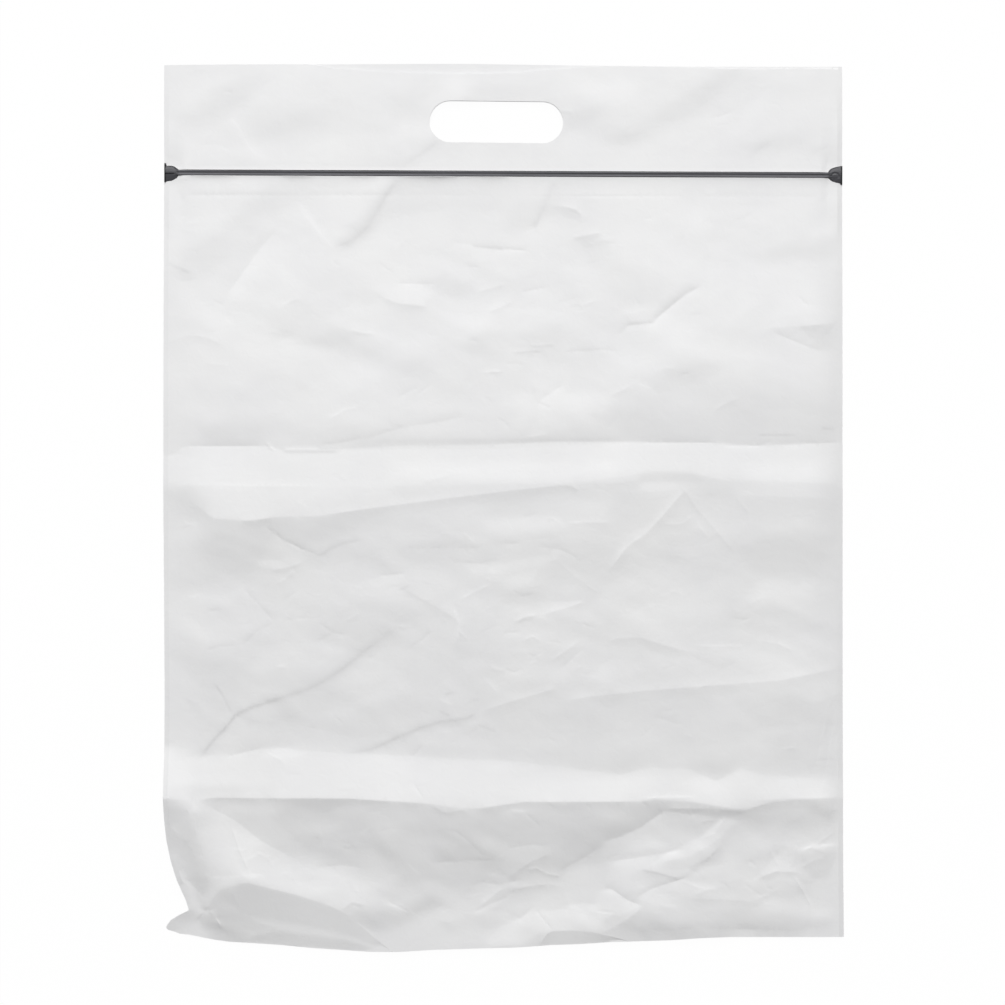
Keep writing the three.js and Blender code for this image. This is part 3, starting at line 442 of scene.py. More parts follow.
# Folds: pixels walked left to right, tilt beside the line and reach in pixels on the upper side, then on the lower
# side, then the share of the line over which each end fades
FOLDS = [
    # header
    ([(228, 112), (240, 130), (250, 148), (270, 162)], 2.5, 9, 2.5, 9),
    ([(398, 170), (420, 155), (442, 138)], -2.6, 7, -2.6, 7),
    ([(668, 157), (690, 148), (708, 138)], -2.2, 5, -2.2, 5),
    ([(745, 162), (758, 150), (772, 140)], -2.4, 6, -2, 6),
    ([(804, 162), (820, 149), (844, 145)], -2.6, 6, -2.6, 7),
    ([(196, 146), (215, 144), (232, 150)], -1.6, 5, 1.2, 8),
    # upper wall and right weld
    ([(546, 212), (551, 195), (555, 180)], -3.4, 3.5, -3.4, 3.5),
    ([(490, 246), (508, 249), (527, 251)], -3, 2.5, 2, 3),
    ([(650, 322), (664, 312), (678, 301), (690, 293), (701, 286)], -3.6, 8, 1.8, 4),
    ([(802, 851), (818, 843), (842, 826)], 3.2, 3, -3, 4), ([(822, 790), (828, 748), (835, 704)], -2.2, 2, 2.2, 3),
    ([(829, 786), (834, 764), (836, 736)], 2.2, 2, -2, 3),
    ([(812, 778), (818, 752), (820, 726)], -1.6, 2.5, 1.6, 3),
    ([(826, 905), (829, 880), (835, 858)], -2.4, 2, 2.2, 3),
    # lines of the zip's flanges, and the upper edge of the hand hole
    ([(180, 166.5), (840, 168.5)], -1.2, 1.5, -1.2, 1.5, 0.02, 0.02),
    ([(180, 195), (390, 195.2)], -4.6, 2, 2.2, 2.4, 0.1, 0.02),
    ([(388, 195.4), (506, 195.6)], -4.2, 4, 3, 3, 0.02, 0.1),
    ([(512, 195.8), (835, 196.5)], -4.2, 2, 2, 2.4, 0.1, 0.1),
    ([(454, 102), (548, 104)], -4, 2.5, -4, 2.5, 0.05, 0.05),
    # upper wall, left
    ([(222, 307), (236, 283), (262, 246), (277, 230)], -2.2, 22, 2.6, 26, 0.25, 0.15),
    ([(298, 202), (310, 216), (320, 230)], 1.8, 7, 1.4, 7), ([(300, 210), (318, 231), (335, 250)], 2, 5, 1.2, 4),
    ([(334, 248), (352, 241), (368, 227), (382, 203), (398, 179)], -4.6, 8, -4.6, 7, 0.15, 0.02),
    ([(446, 242), (480, 246), (506, 250), (532, 251)], -3, 4, 2.8, 9),
    ([(470, 246), (506, 250)], -3.5, 2.2, -3.5, 1.6), ([(384, 299), (398, 304), (428, 307.5)], 2, 6, -4, 4),
    ([(396, 284), (436, 284)], -3.5, 3, 2, 5), ([(478, 293), (490, 289), (505, 285)], 2.5, 6, -4.5, 4.5),
    ([(488, 313), (498, 309), (513, 302)], 2.5, 7, -4.5, 4.5), ([(164, 262), (178, 267), (192, 274)], -3, 3, -4, 4),
    ([(164, 343), (190, 336), (208, 338), (226, 346)], 2, 6, -3, 7),
    ([(350, 331), (364, 334), (374, 334)], 2.5, 4, -3.5, 3), ([(398, 398), (412, 390), (420, 388)], -2.5, 4, 2, 5),
    ([(482, 373), (500, 372)], 4, 2.5, -4, 2.5), ([(206, 364), (232, 366)], 2, 3, -2.2, 4),
    ([(166, 375), (190, 372)], -1.8, 4, 1.4, 4), ([(180, 283), (196, 279)], -2.2, 3, 1.5, 4),
    ([(212, 300), (224, 306)], -2.2, 3, 1.6, 4), ([(226, 318), (232, 326)], 1.4, 4, 1, 4),
    # upper wall, right, and above the packing fold
    ([(533, 230), (546, 204), (554, 180)], -4.2, 6, -4.2, 3.5, 0.1, 0.02),
    ([(548, 206), (562, 206), (577, 210), (584, 218)], 3.4, 4, -3.6, 6),
    ([(572, 239), (586, 236), (602, 233)], 2.6, 5, -4, 4), ([(600, 243), (616, 244)], -2.5, 3, 2, 4),
    ([(617, 338), (627, 326), (652, 323), (668, 309), (686, 293), (703, 286)], -5.5, 8, 2.6, 10),
    ([(626, 325), (655, 323)], -1.8, 3, -1, 2), ([(511, 353), (524, 352), (542, 351)], 1.5, 4, -5, 3),
    ([(530, 346), (556, 345)], 2, 3, -4, 2.5), ([(563, 352), (600, 350), (618, 351)], -4.2, 3, 1.6, 4),
    ([(492, 373), (504, 372)], 3, 3, -3.5, 3), ([(520, 293), (534, 290), (546, 288)], -3, 4, 2.6, 4),
    ([(558, 303), (590, 295)], -1.6, 5, 1.2, 5), ([(764, 328), (800, 327), (834, 323)], 2.2, 7, -2, 7),
    ([(772, 333), (795, 342), (820, 352)], -4, 5, 1.6, 7), ([(826, 336), (838, 320)], -3, 4, 2, 4),
    ([(708, 188), (712, 230), (708, 272)], -1.8, 9, -1.2, 9, 0.1, 0.3),
    ([(534, 384), (536, 403), (534, 428)], -2.6, 5, -2.6, 5), ([(536, 402), (552, 409)], -3.4, 3, 2, 4),
    ([(538, 402), (566, 383)], -2.4, 8, 2.4, 8), ([(609, 396), (622, 391), (630, 386)], 2.4, 5, -3, 4),
    ([(712, 412), (724, 404), (738, 398)], 3.4, 4, -2.4, 6), ([(620, 316), (648, 310)], 1.6, 4, -2, 4),
    ([(330, 420), (344, 411), (360, 408)], 3.2, 4, -2.2, 4),
    ([(360, 441), (372, 437), (400, 428), (440, 422), (468, 415)], -3.6, 7, 1.4, 8),
    # packing fold
    ([(184, 446), (264, 446)], -3.5, 5, 2, 4, 0.1, 0.1), ([(284, 449), (322, 449)], 5, 1.8, 2, 1.5),
    ([(280, 452), (342, 452)], -4.2, 1.8, -3, 2), ([(320, 445), (340, 443), (364, 438)], -4.2, 4, 1.5, 4),
    ([(366, 441.5), (440, 441), (560, 440), (640, 441)], -0.9, 3, -0.6, 2.5),
    ([(320, 452), (370, 450), (440, 449), (500, 449), (560, 446), (640, 443)], -1.2, 4, 0.6, 5),
    ([(640, 443), (716, 443)], -3, 6, 3, 6), ([(720, 446), (740, 446), (758, 446), (774, 440)], -3, 3, 3.2, 4),
    ([(756, 436), (796, 436)], -3.6, 2.4, 1, 2), ([(776, 446), (842, 442)], -3.4, 6, 3, 6),
    ([(266, 442), (276, 452)], 4.5, 3, -3, 3), ([(526, 438), (548, 434)], 3.4, 3, -2, 3),
    ([(180, 485), (260, 486), (322, 486)], 2.4, 2.5, -1.5, 5),
    ([(164, 458), (178, 452), (186, 446)], -2.6, 6, 2, 6), ([(820, 428), (836, 430)], -3.4, 4, -2, 4),
    ([(500, 470), (548, 470)], 1.2, 5, -1.4, 5), ([(424, 482), (440, 478), (452, 474)], 1.5, 3, -2, 4),
    ([(340, 476), (348, 480)], 2, 3, -2, 3),
    # ridge across the middle
    ([(240, 521.5), (262, 519), (278, 517)], 2.2, 6, -4.2, 9, 0.2, 0.3),
    ([(318, 516), (360, 510), (400, 504.5), (440, 499), (510, 491), (566, 485)], 2.2, 8, -2.4, 10, 0.12, 0.03),
    ([(564, 485), (572, 486.5), (580, 492)], 1.5, 4, -4, 8),
    ([(580, 484), (610, 484), (642, 480)], 1.2, 8, -2.2, 9),
    # middle, left
    ([(264, 525), (284, 540), (304, 549), (322, 556)], -4, 4, 2.4, 5),
    ([(320, 556), (332, 548), (344, 543), (362, 540)], -3.2, 4, -1.8, 3),
    ([(402, 548), (440, 547.5), (484, 548)], -3.4, 5, 1.2, 5),
    ([(270, 571), (290, 567), (304, 562)], 2.2, 4, -3.4, 4), ([(380, 575), (406, 573.5)], -3.4, 3, 2.6, 6),
    ([(398, 585), (425, 601), (445, 612), (459, 621)], -1.2, 4, -3.6, 6),
    ([(454, 606), (459, 622), (457, 640)], 3.4, 2.5, 3.4, 2.5), ([(458, 630), (469, 640)], 3, 3, -2.5, 3),
    ([(244, 588), (262, 607), (276, 622)], -3.2, 4, 1.2, 5),
    ([(238, 645), (246, 643), (256, 632), (276, 622)], -3.2, 4, 1.2, 5),
    ([(206, 651), (220, 646), (240, 645)], -2.8, 4, 1.4, 4), ([(288, 619), (312, 617)], -2.6, 3, 1.6, 3),
    ([(318, 621), (332, 632), (347, 635)], -3, 3, 1.6, 4), ([(318, 641), (334, 633)], -2.6, 3, 1.6, 3),
    ([(199, 760), (212, 742), (226, 728), (236, 715), (250, 708), (280, 698)], -5, 4, -4.2, 4, 0.15, 0.01),
    ([(280, 698), (310, 688), (325, 680), (345, 667), (368, 648), (404, 622)], -4.2, 4, -3, 6, 0.01, 0.35),
    ([(214, 682), (224, 698), (232, 715)], -3.2, 3, 1, 4), ([(236, 716), (262, 722), (300, 716)], -1.5, 8, -1.5, 8),
    ([(340, 754), (372, 749), (398, 737), (420, 728), (440, 722), (468, 718),
      (478, 712)], -4.6, 4, -3.4, 5, 0.2, 0.05),
    ([(476, 724), (484, 727), (496, 732)], -4, 3, 1, 4), ([(412, 757), (424, 744)], -3, 3, 2, 3),
    ([(445, 695), (454, 692)], -3.4, 3, -1, 3), ([(412, 646), (422, 640), (432, 630)], -3.2, 4, 1.4, 4),
    ([(226, 756), (244, 752), (262, 748)], -3, 3, 2.4, 4), ([(440, 710), (450, 716)], -2.6, 4, -1.6, 4),
    ([(440, 728), (464, 726)], -1.6, 4, 0.8, 4),
    # middle, right
    ([(566, 523), (590, 522), (610, 522)], 4.6, 2, -2, 3),
    ([(535, 546), (560, 549), (572, 555), (581, 561)], -4.2, 3, 2.6, 6),
    ([(452, 562), (480, 563), (500, 560)], -3, 3, 2, 5),
    ([(608, 572), (626, 547), (645, 534), (661, 517), (684, 490)], 4.4, 7, -2.6, 10, 0.15, 0.05),
    ([(683, 489), (695, 507), (714, 529), (740, 560)], 1.6, 6, -3.6, 4, 0.05, 0.3),
    ([(662, 524), (680, 524), (694, 516)], 2.6, 3, -1.6, 4), ([(514, 622), (524, 617), (536, 615)], 4.6, 4, -4, 3),
    ([(540, 615), (560, 609), (586, 601)], 4, 4, -3, 5), ([(502, 633), (522, 631)], -4.2, 2.5, 2.6, 4),
    ([(602, 646), (614, 638), (640, 637), (652, 641), (692, 653)], 3, 4, -2.8, 9),
    ([(692, 646), (746, 646)], 2.6, 3, -1, 4),
    ([(562, 701), (586, 696.5), (640, 690.5), (700, 686), (740, 683), (780, 680), (802, 675),
      (844, 667)], 3.4, 11, -2.4, 16, 0.08, 0.05),
    ([(480, 711), (510, 701), (558, 687)], 3.4, 6, -3, 14, 0.15, 0.1),
    ([(650, 716), (664, 719), (680, 724)], -2.8, 5, 1, 5), ([(640, 738), (652, 726)], -2, 4, 1.2, 4),
    ([(782, 749), (796, 747)], 3.4, 3, -3.4, 3), ([(815, 760), (836, 760)], -3.4, 2.5, 1.6, 3),
    ([(754, 640), (776, 643), (794, 651)], 2.8, 4, -2.2, 5), ([(736, 498), (748, 513)], 2.4, 3, -2.4, 3),
    ([(688, 654), (720, 668), (740, 660)], -2, 8, 0.5, 5), ([(486, 546), (520, 540), (560, 538)], -1.6, 6, 1, 6),
    ([(556, 560), (580, 580), (600, 594)], 1.4, 6, -1.6, 6), ([(640, 610), (660, 604)], 1.2, 4, -1.2, 4),
    ([(524, 640), (532, 636), (540, 640)], 3.6, 2.5, -3.6, 2.5),
    ([(526, 652), (534, 656), (542, 652)], -3.6, 2.5, 3.4, 2.5),
    ([(504, 668), (514, 672), (522, 668)], -4, 2.5, 2.6, 2.5), ([(530, 664), (538, 660)], 3.6, 2.5, -2.6, 2.5),
    ([(552, 660), (566, 650), (580, 640)], 2.6, 4, -2.6, 4),
    ([(562, 668), (574, 656), (584, 648)], -2.2, 4, 2.2, 4), ([(460, 600), (474, 592), (490, 585)], 3, 4, -2.4, 4),
    ([(512, 590), (522, 596), (534, 594)], -3, 3, 2.4, 3),
    # bright band and the ridge over the gusset's inner fold
    ([(266, 752), (282, 760), (286, 764)], 2.4, 3, -2, 3), ([(284, 774), (304, 774)], -2.2, 2, 1.6, 2),
    ([(412, 780), (424, 798)], -2.6, 2, 2.4, 3), ([(340, 788), (356, 786)], 2, 3, -1.6, 3),
    ([(246, 794), (262, 793)], 2.4, 3, -2.4, 2),
    ([(198, 800), (215, 797), (345, 797.5), (400, 801), (432, 803)], 2.2, 4, -5, 10, 0.06, 0.1),
    ([(432, 804), (445, 812), (462, 809), (470, 812)], 3, 5, -4.5, 5),
    ([(470, 808), (500, 804), (524, 801), (640, 801)], 1.8, 4, -4.5, 10),
    ([(643, 798.5), (658, 797), (694, 796.5)], 5, 3, -3, 4),
    ([(664, 808), (690, 808), (720, 809), (748, 811)], 3.6, 4, -6.5, 8),
    ([(748, 800), (790, 798), (844, 797)], 1.5, 5, -4, 10),
    # pinch of the folded-out corner
    ([(184, 879), (196, 891), (207, 902)], 3.4, 3, 2.4, 3), ([(191, 926), (200, 916), (209, 905)], -3.4, 3, -4, 4),
    ([(210, 909), (216, 918), (222, 928)], 4.4, 2.5, -2.4, 3),
    ([(171, 825), (178, 832), (185, 840)], 3.4, 3, 2.4, 3),
    # gusset, left
    ([(196, 797), (196, 812), (198, 832)], -3, 4, 5, 5), ([(198, 832), (204, 862), (208, 902)], -4, 5, 2.5, 8),
    ([(232, 826), (240, 850), (250, 872)], 1.8, 4, -3.6, 4), ([(342, 910), (352, 902), (366, 905)], 2.2, 4, -4, 3),
    ([(388, 902), (398, 906), (410, 912)], -4.2, 2.5, 4.2, 4),
    ([(430, 862), (470, 860), (500, 860)], -2.6, 3, 1.6, 4), ([(322, 867), (344, 865), (362, 868)], -2, 4, 2.6, 5),
    ([(208, 876), (240, 874), (270, 872)], -1.2, 4, 1.8, 4), ([(170, 824), (186, 838), (196, 856)], 2.4, 4, -3, 6),
    ([(204, 803), (236, 820), (262, 841), (300, 861)], -2, 9, 2.6, 9),
    ([(440, 828), (456, 830), (470, 842), (486, 858)], -3, 4, 1.2, 5), ([(300, 836), (320, 838)], -1.4, 4, 1, 4),
    ([(398, 946), (424, 920), (442, 905)], -3, 6, 4, 8), ([(470, 914), (490, 904), (510, 896)], -4, 4, 3, 6),
    ([(480, 906), (500, 890), (520, 886)], 3.5, 5, -3, 4), ([(478, 882), (500, 884), (520, 880)], -4.5, 4, 2.5, 5),
    # gusset, right, and the right weld
    ([(600, 842), (622, 836), (642, 826), (666, 809)], -3.6, 9, 2.6, 8),
    ([(606, 862), (640, 857), (668, 852), (684, 849)], -3, 5, 3.6, 7),
    ([(640, 868), (658, 872), (682, 879)], 2, 5, -5, 4.5), ([(634, 898), (652, 888), (690, 876)], -5, 6, 4, 7),
    ([(722, 844), (706, 860), (688, 868)], -3, 4, -2, 4), ([(700, 839), (716, 832), (724, 817)], 4, 5, -2, 4),
    ([(560, 894), (576, 889), (612, 889), (628, 900), (644, 906)], -5, 5, 3, 8),
    ([(686, 898), (720, 899), (766, 902)], 1.8, 8, -3.4, 5), ([(798, 849), (820, 846), (846, 843)], 5.5, 4, 3.5, 4),
    ([(800, 868), (812, 861), (826, 858)], 3, 4, -3, 5), ([(756, 879), (776, 871), (800, 872)], 3.6, 5, -3.6, 6),
    ([(790, 872), (800, 886), (811, 906), (812, 938)], 3.4, 4, -3.4, 4),
    ([(806, 882), (806, 938)], -3, 2.5, 3, 2.5), ([(815, 898), (817, 936)], 3.4, 2.5, -2.5, 2.5),
    ([(796, 846), (796, 868)], 3.4, 2.5, -3, 2.5), ([(786, 848), (790, 870)], -2.5, 2.5, 3, 2.5),
    ([(828, 700), (826, 724), (822, 740)], -3, 3, 2, 3), ([(834, 800), (830, 830)], 3, 2.5, -3, 2.5),
    ([(498, 908), (520, 919), (536, 904)], -4.4, 5, 3, 5), ([(536, 910), (544, 920), (553, 930)], -4, 2, 3, 3),
    ([(525, 812), (532, 818), (541, 826)], -3.4, 3, 2, 4), ([(506, 848), (530, 844), (548, 845)], -4.2, 3, 2.2, 5),
    ([(506, 878), (530, 862), (552, 852)], 2.6, 6, -3.4, 6),
    ([(524, 870), (536, 868), (548, 874), (562, 876)], 4.4, 3, -4, 4),
    ([(500, 894), (524, 887), (548, 884), (566, 888)], 3, 5, -4.4, 5),
    ([(558, 872), (580, 860), (600, 846)], -3, 6, 1.6, 6), ([(640, 800), (648, 806)], -3.4, 3, 2, 3),
    ([(548, 800), (556, 806)], 2.5, 2.5, -2.5, 2.5), ([(586, 802), (592, 810)], -2.5, 3, 1.5, 3),
    ([(562, 906), (580, 902), (596, 904)], -2.6, 4, 2, 4), ([(596, 911), (616, 912)], -3.2, 3, 2, 3),
    ([(600, 934), (624, 921), (644, 906)], 4, 8, -4, 6), ([(640, 931), (700, 928), (800, 930)], -2, 5, 2.2, 5),
    ([(770, 850), (778, 866)], 2.4, 4, -2.4, 4), ([(680, 880), (700, 888), (720, 890)], 2, 4, -2, 4),
    ([(748, 860), (756, 866)], -2.4, 3, 2, 3), ([(744, 884), (762, 896)], -2, 4, 2, 4),
]

# Small creases between the drawn ones: rows and columns in pixels, and how many
SMALL_CREASES = [((205, 430), (180, 830), 26), ((500, 740), (180, 825), 48), ((808, 932), (230, 825), 44),
                 ((75, 160), (180, 830), 6)]
# Half their length, how far they turn (radians) and bend, tilt, reach to both sides, how much tilt is on the lower
# side, and how they fade
SMALL_RUN, SMALL_TURN, SMALL_BEND = (5, 12), 0.45, 2.5
SMALL_LEAN, SMALL_UPPER, SMALL_LOWER, SMALL_SHARE = (1.6, 3.4), (2.2, 4), (2.2, 4.4), (0.4, 1)
SMALL_FADE, SMALL_SEED = 0.3, 8


def small_creases():
    """Short creases, mostly across the bag, each dark on one side and bright on the other; the same on every run."""
    rng = np.random.default_rng(SMALL_SEED)
    found = []
    for (top, foot), (first, last), count in SMALL_CREASES:
        for _ in range(count):
            px, py = rng.uniform(first, last), rng.uniform(top, foot)
            run, turn, bend = rng.uniform(*SMALL_RUN), rng.normal(0, SMALL_TURN), rng.uniform(-SMALL_BEND, SMALL_BEND)
            dx, dy = run * math.cos(turn), run * math.sin(turn)
            lean = rng.uniform(*SMALL_LEAN) * rng.choice([-1, 1])
            line = [(px - dx, py - dy), (px - dy * bend / run, py + dx * bend / run), (px + dx, py + dy)]
            found.append((line, lean, rng.uniform(*SMALL_UPPER), -lean * rng.uniform(*SMALL_SHARE),
                          rng.uniform(*SMALL_LOWER), SMALL_FADE, SMALL_FADE))
    return found


FOLDS += small_creases()

# Crumples: run across, drop down, skew, rise and seed of three sizes of facet, the steps that round their edges,
# and how strongly they are given
CRUMPLES = [(47, 27, 0.4, 0.34, 5), (21, 13, -0.5, 0.12, 11), (11, 7, 0.7, 0.05, 17)]
ROUNDING = [(0, 0), (0.9, 0.6), (-0.9, -0.6), (0.6, -0.9), (-0.6, 0.9)]
CRUMPLED = 1.05
# Lattice of the facets: cells before it repeats, how far its lines wander and ripple, and how often
LATTICE = 64
WANDER, RIPPLE = 0.33, 0.2
WANDER_ACROSS, RIPPLE_ACROSS, WANDER_DOWN, RIPPLE_DOWN = 1.9, 1.3, 2.3, 0.9
# How crumpled the film is, by pixel row
WORKED = [(60, 0.9), (145, 0.9), (160, 0.15), (200, 0.15), (230, 1.3), (400, 1.3), (440, 0.9), (450, 0.35),
          (488, 0.35), (515, 0.7), (530, 1.7), (700, 1.7), (745, 1.3), (760, 0.4), (795, 0.4), (800, 1.0), (810, 2.2),
          (930, 2.2), (960, 2.0)]
# Folds and crumples fade to these shares at the welds and beside the zip, where they are whole again past a run
WELD_SHARE = 0.45
ZIP_SHARE, ZIP_CLEAR, ZIP_RUN = 0.5, 2.5, 7

# How far the swelling takes to die out towards the side welds, by pixel row, and the right side's share of that
SIDE_RUN = [(60, 30), (200, 34), (700, 34), (780, 28), (810, 20), (900, 18), (940, 18)]
RIGHT_RUN = 0.6

# Height of the layers where they only lie on each other, by pixel row: mouth, zip, gusset
STACK = [(60, 0.8), (66, 0.8), (120, 1.3), (150, 2.3), (164, 2.62), (204, 2.62), (240, 1.6), (960, 1.6)]

# Side edges stand off the ground by a share of the height that the folds have there, more at the left, where the
# edge comes down evenly from the gusset's ridge to the folded-out corner; the back wall comes down to the ground
# again within a run
LEFT_LIFT, RIGHT_LIFT = 0.6, 0.35
RAISED = [(60, 0), (205, 0), (270, 1), (800, 1), (850, 0.6), (905, 0.1), (960, 0)]
CORNER_LIFT = [(60, 0), (735, 0), (760, 3.2), (797, 7.6), (850, 4.0), (905, 2.0), (911, 1.9), (931, 0.1), (960, 0)]
LIFT_RUN = 30.0
# The folds' height there is taken this far out from the bag's middle
NEAR_EDGE = 203.0
# Wedge under a raised edge: rows along it, closer ones at the folded-out corner, steps in from the edge, the rows
# beside each that it stays under, where it starts below the ground, and its clearance
WEDGE_ROWS, CLOSE_ROWS = (50, 970, 100), (896, 942, 1.5)
WEDGE_STEPS = [-5, 0, 1.5, 3, 6, 10, 15, 20, 25, 31]
WEDGE_UNDER = (-2.5, -1, 0, 1, 2.5)
WEDGE_LOW, WEDGE_CLEAR = -2.0, 0.02

# The folded-out corner is thin film up to a column, and the front wall beside it comes down to the foot within a drop
EAR_ROWS, EAR_STACK = [(60, 0), (876, 0), (908, 1), (960, 1)], 0.75
EAR_COLUMN, EAR_RUN = 200, 12
CORNER_COLUMN, CORNER_RUN = 226, 24
CORNER_DROP = 12.0

# Rows where the film is pressed down round the crushed ends of the zip, and how far
PRESSED_ENDS = [(60, 0), (125, 0), (163, 1), (185, 1), (240, 0), (960, 0)]
PRESSED_DOWN = 1.3

# How far the film stands up to the zip on its lower side, by pixel column; on its upper side it is even
CREST = 0.22
LOWER_CREST = [(164, 0.5), (185, 0.35), (203, 0.85), (222, 0.9), (240, 0.35), (278, 0.4), (290, 0.95), (304, 0.9),
               (316, 0.4), (345, 0.4), (358, 0.85), (368, 0.8), (380, 0.25), (400, 0.6), (416, 1.0), (440, 1.5),
               (455, 0.9), (462, 0.6), (490, 0.9), (503, 0.7), (514, 0.3), (600, 0.35), (660, 0.3), (720, 0.4),
               (790, 0.45), (843, 0.75)]
CREST_RUN = 1.5
# Lines of the mesh along the zip, across it, and how far they run from its middle
ZIP_LINES = (-6.0, -4.2, -3.0, -2.3, -1.9, 1.9, 2.3, 3.0, 4.2)
ZIP_LINE_END = 188


# ---------------------------------------------------------------- heights of the front wall

def by_row(table, y):
    """Value at a height on the bag from a table by pixel row."""
    return read_off([(-float(on_bag(0, row)[1]), value) for row, value in table], -y)


def guide_lines(x):
    """y and height of each guide line at x."""
    ys, zs = [], []
    for points, _ in GUIDES:
        gx, gy = on_bag([p[0] for p in points], [p[1] for p in points])
        ys.append(np.interp(x, gx, gy))
        zs.append(np.interp(x, gx, [p[2] for p in points]))
    return ys, zs


def lofted(x, y):
    """Front wall between the guide lines: straight facets, each fold rounded as its guide says."""
    ys, zs = guide_lines(x)
    slopes = [(zs[k + 1] - zs[k]) / np.minimum(ys[k + 1] - ys[k], -GUIDE_GAP) for k in range(len(ys) - 1)]
    z = zs[0] + slopes[0] * (y - ys[0])
    for k in range(1, len(ys) - 1):
        past = ys[k] - y
        r = max(GUIDES[k][1], LEAST_ROUND)
        ramp = np.where(past < -r, 0, np.where(past > r, past, (past + r) ** 2 / (4 * r)))
        z = z - (slopes[k] - slopes[k - 1]) * ramp
    return z


def nearest(line, x, y):
    """Distance to a line, the side (+1 to the left of the walk) and the share of the walk."""
    best, side, share = np.full(x.shape, np.inf), np.ones(x.shape), np.zeros(x.shape)
    legs = np.hypot(*np.diff(line, axis=0).T)
    start = np.concatenate([[0], np.cumsum(legs)])
    for k, leg in enumerate(legs):
        (ax, ay), (bx, by) = line[k], line[k + 1]
        t = np.clip(((x - ax) * (bx - ax) + (y - ay) * (by - ay)) / leg ** 2, 0, 1)
        d = np.hypot(x - ax - t * (bx - ax), y - ay - t * (by - ay))
        closer = d < best
        best = np.where(closer, d, best)
        side = np.where(closer, np.sign((bx - ax) * (y - ay) - (by - ay) * (x - ax)), side)
        share = np.where(closer, (start[k] + t * leg) / start[-1], share)
    return best, side, share


def lattice(x, y, run, drop, skew, rise, seed):
    """Flat three-cornered facets over a skewed, wandering lattice: crumpled film. Run across, drop down, heights
    within rise."""
    heights = np.random.default_rng(seed).uniform(-rise, rise, (LATTICE, LATTICE))
    u = (x + skew * y) / run + WANDER * np.sin(y / drop * WANDER_ACROSS + seed)
    u = u + RIPPLE * np.sin(x / run * RIPPLE_ACROSS + 2 * seed)
    v = y / drop + WANDER * np.sin(x / run * WANDER_DOWN + 3 * seed)
    v = v + RIPPLE * np.sin(y / drop * RIPPLE_DOWN + seed)
    i, j = np.floor(u).astype(int), np.floor(v).astype(int)
    u, v = u - i, v - j
    at = lambda a, b: heights[(i + a) % LATTICE, (j + b) % LATTICE]
    lower = at(0, 0) + u * (at(1, 0) - at(0, 0)) + v * (at(0, 1) - at(0, 0))
    upper = at(1, 1) + (1 - u) * (at(0, 1) - at(1, 1)) + (1 - v) * (at(1, 0) - at(1, 1))
    return np.where(u + v < 1, lower, upper)


def crumple(x, y):
    """Three sizes of facet, their edges a little rounded."""
    z = np.zeros_like(x)
    for dx, dy in ROUNDING:
        z += 1 / len(ROUNDING) * sum(lattice(x + dx, y + dy, *size) for size in CRUMPLES)
    return CRUMPLED * z * by_row(WORKED, y)


def inside(outline, x, y):
    """Which points lie inside a closed outline."""
    odd = np.zeros(x.shape, bool)
    for (ax, ay), (bx, by) in zip(outline, np.roll(outline, -1, axis=0)):
        if ay != by:
            odd ^= ((ay > y) != (by > y)) & (x < (bx - ax) * (y - ay) / (by - ay) + ax)
    return odd


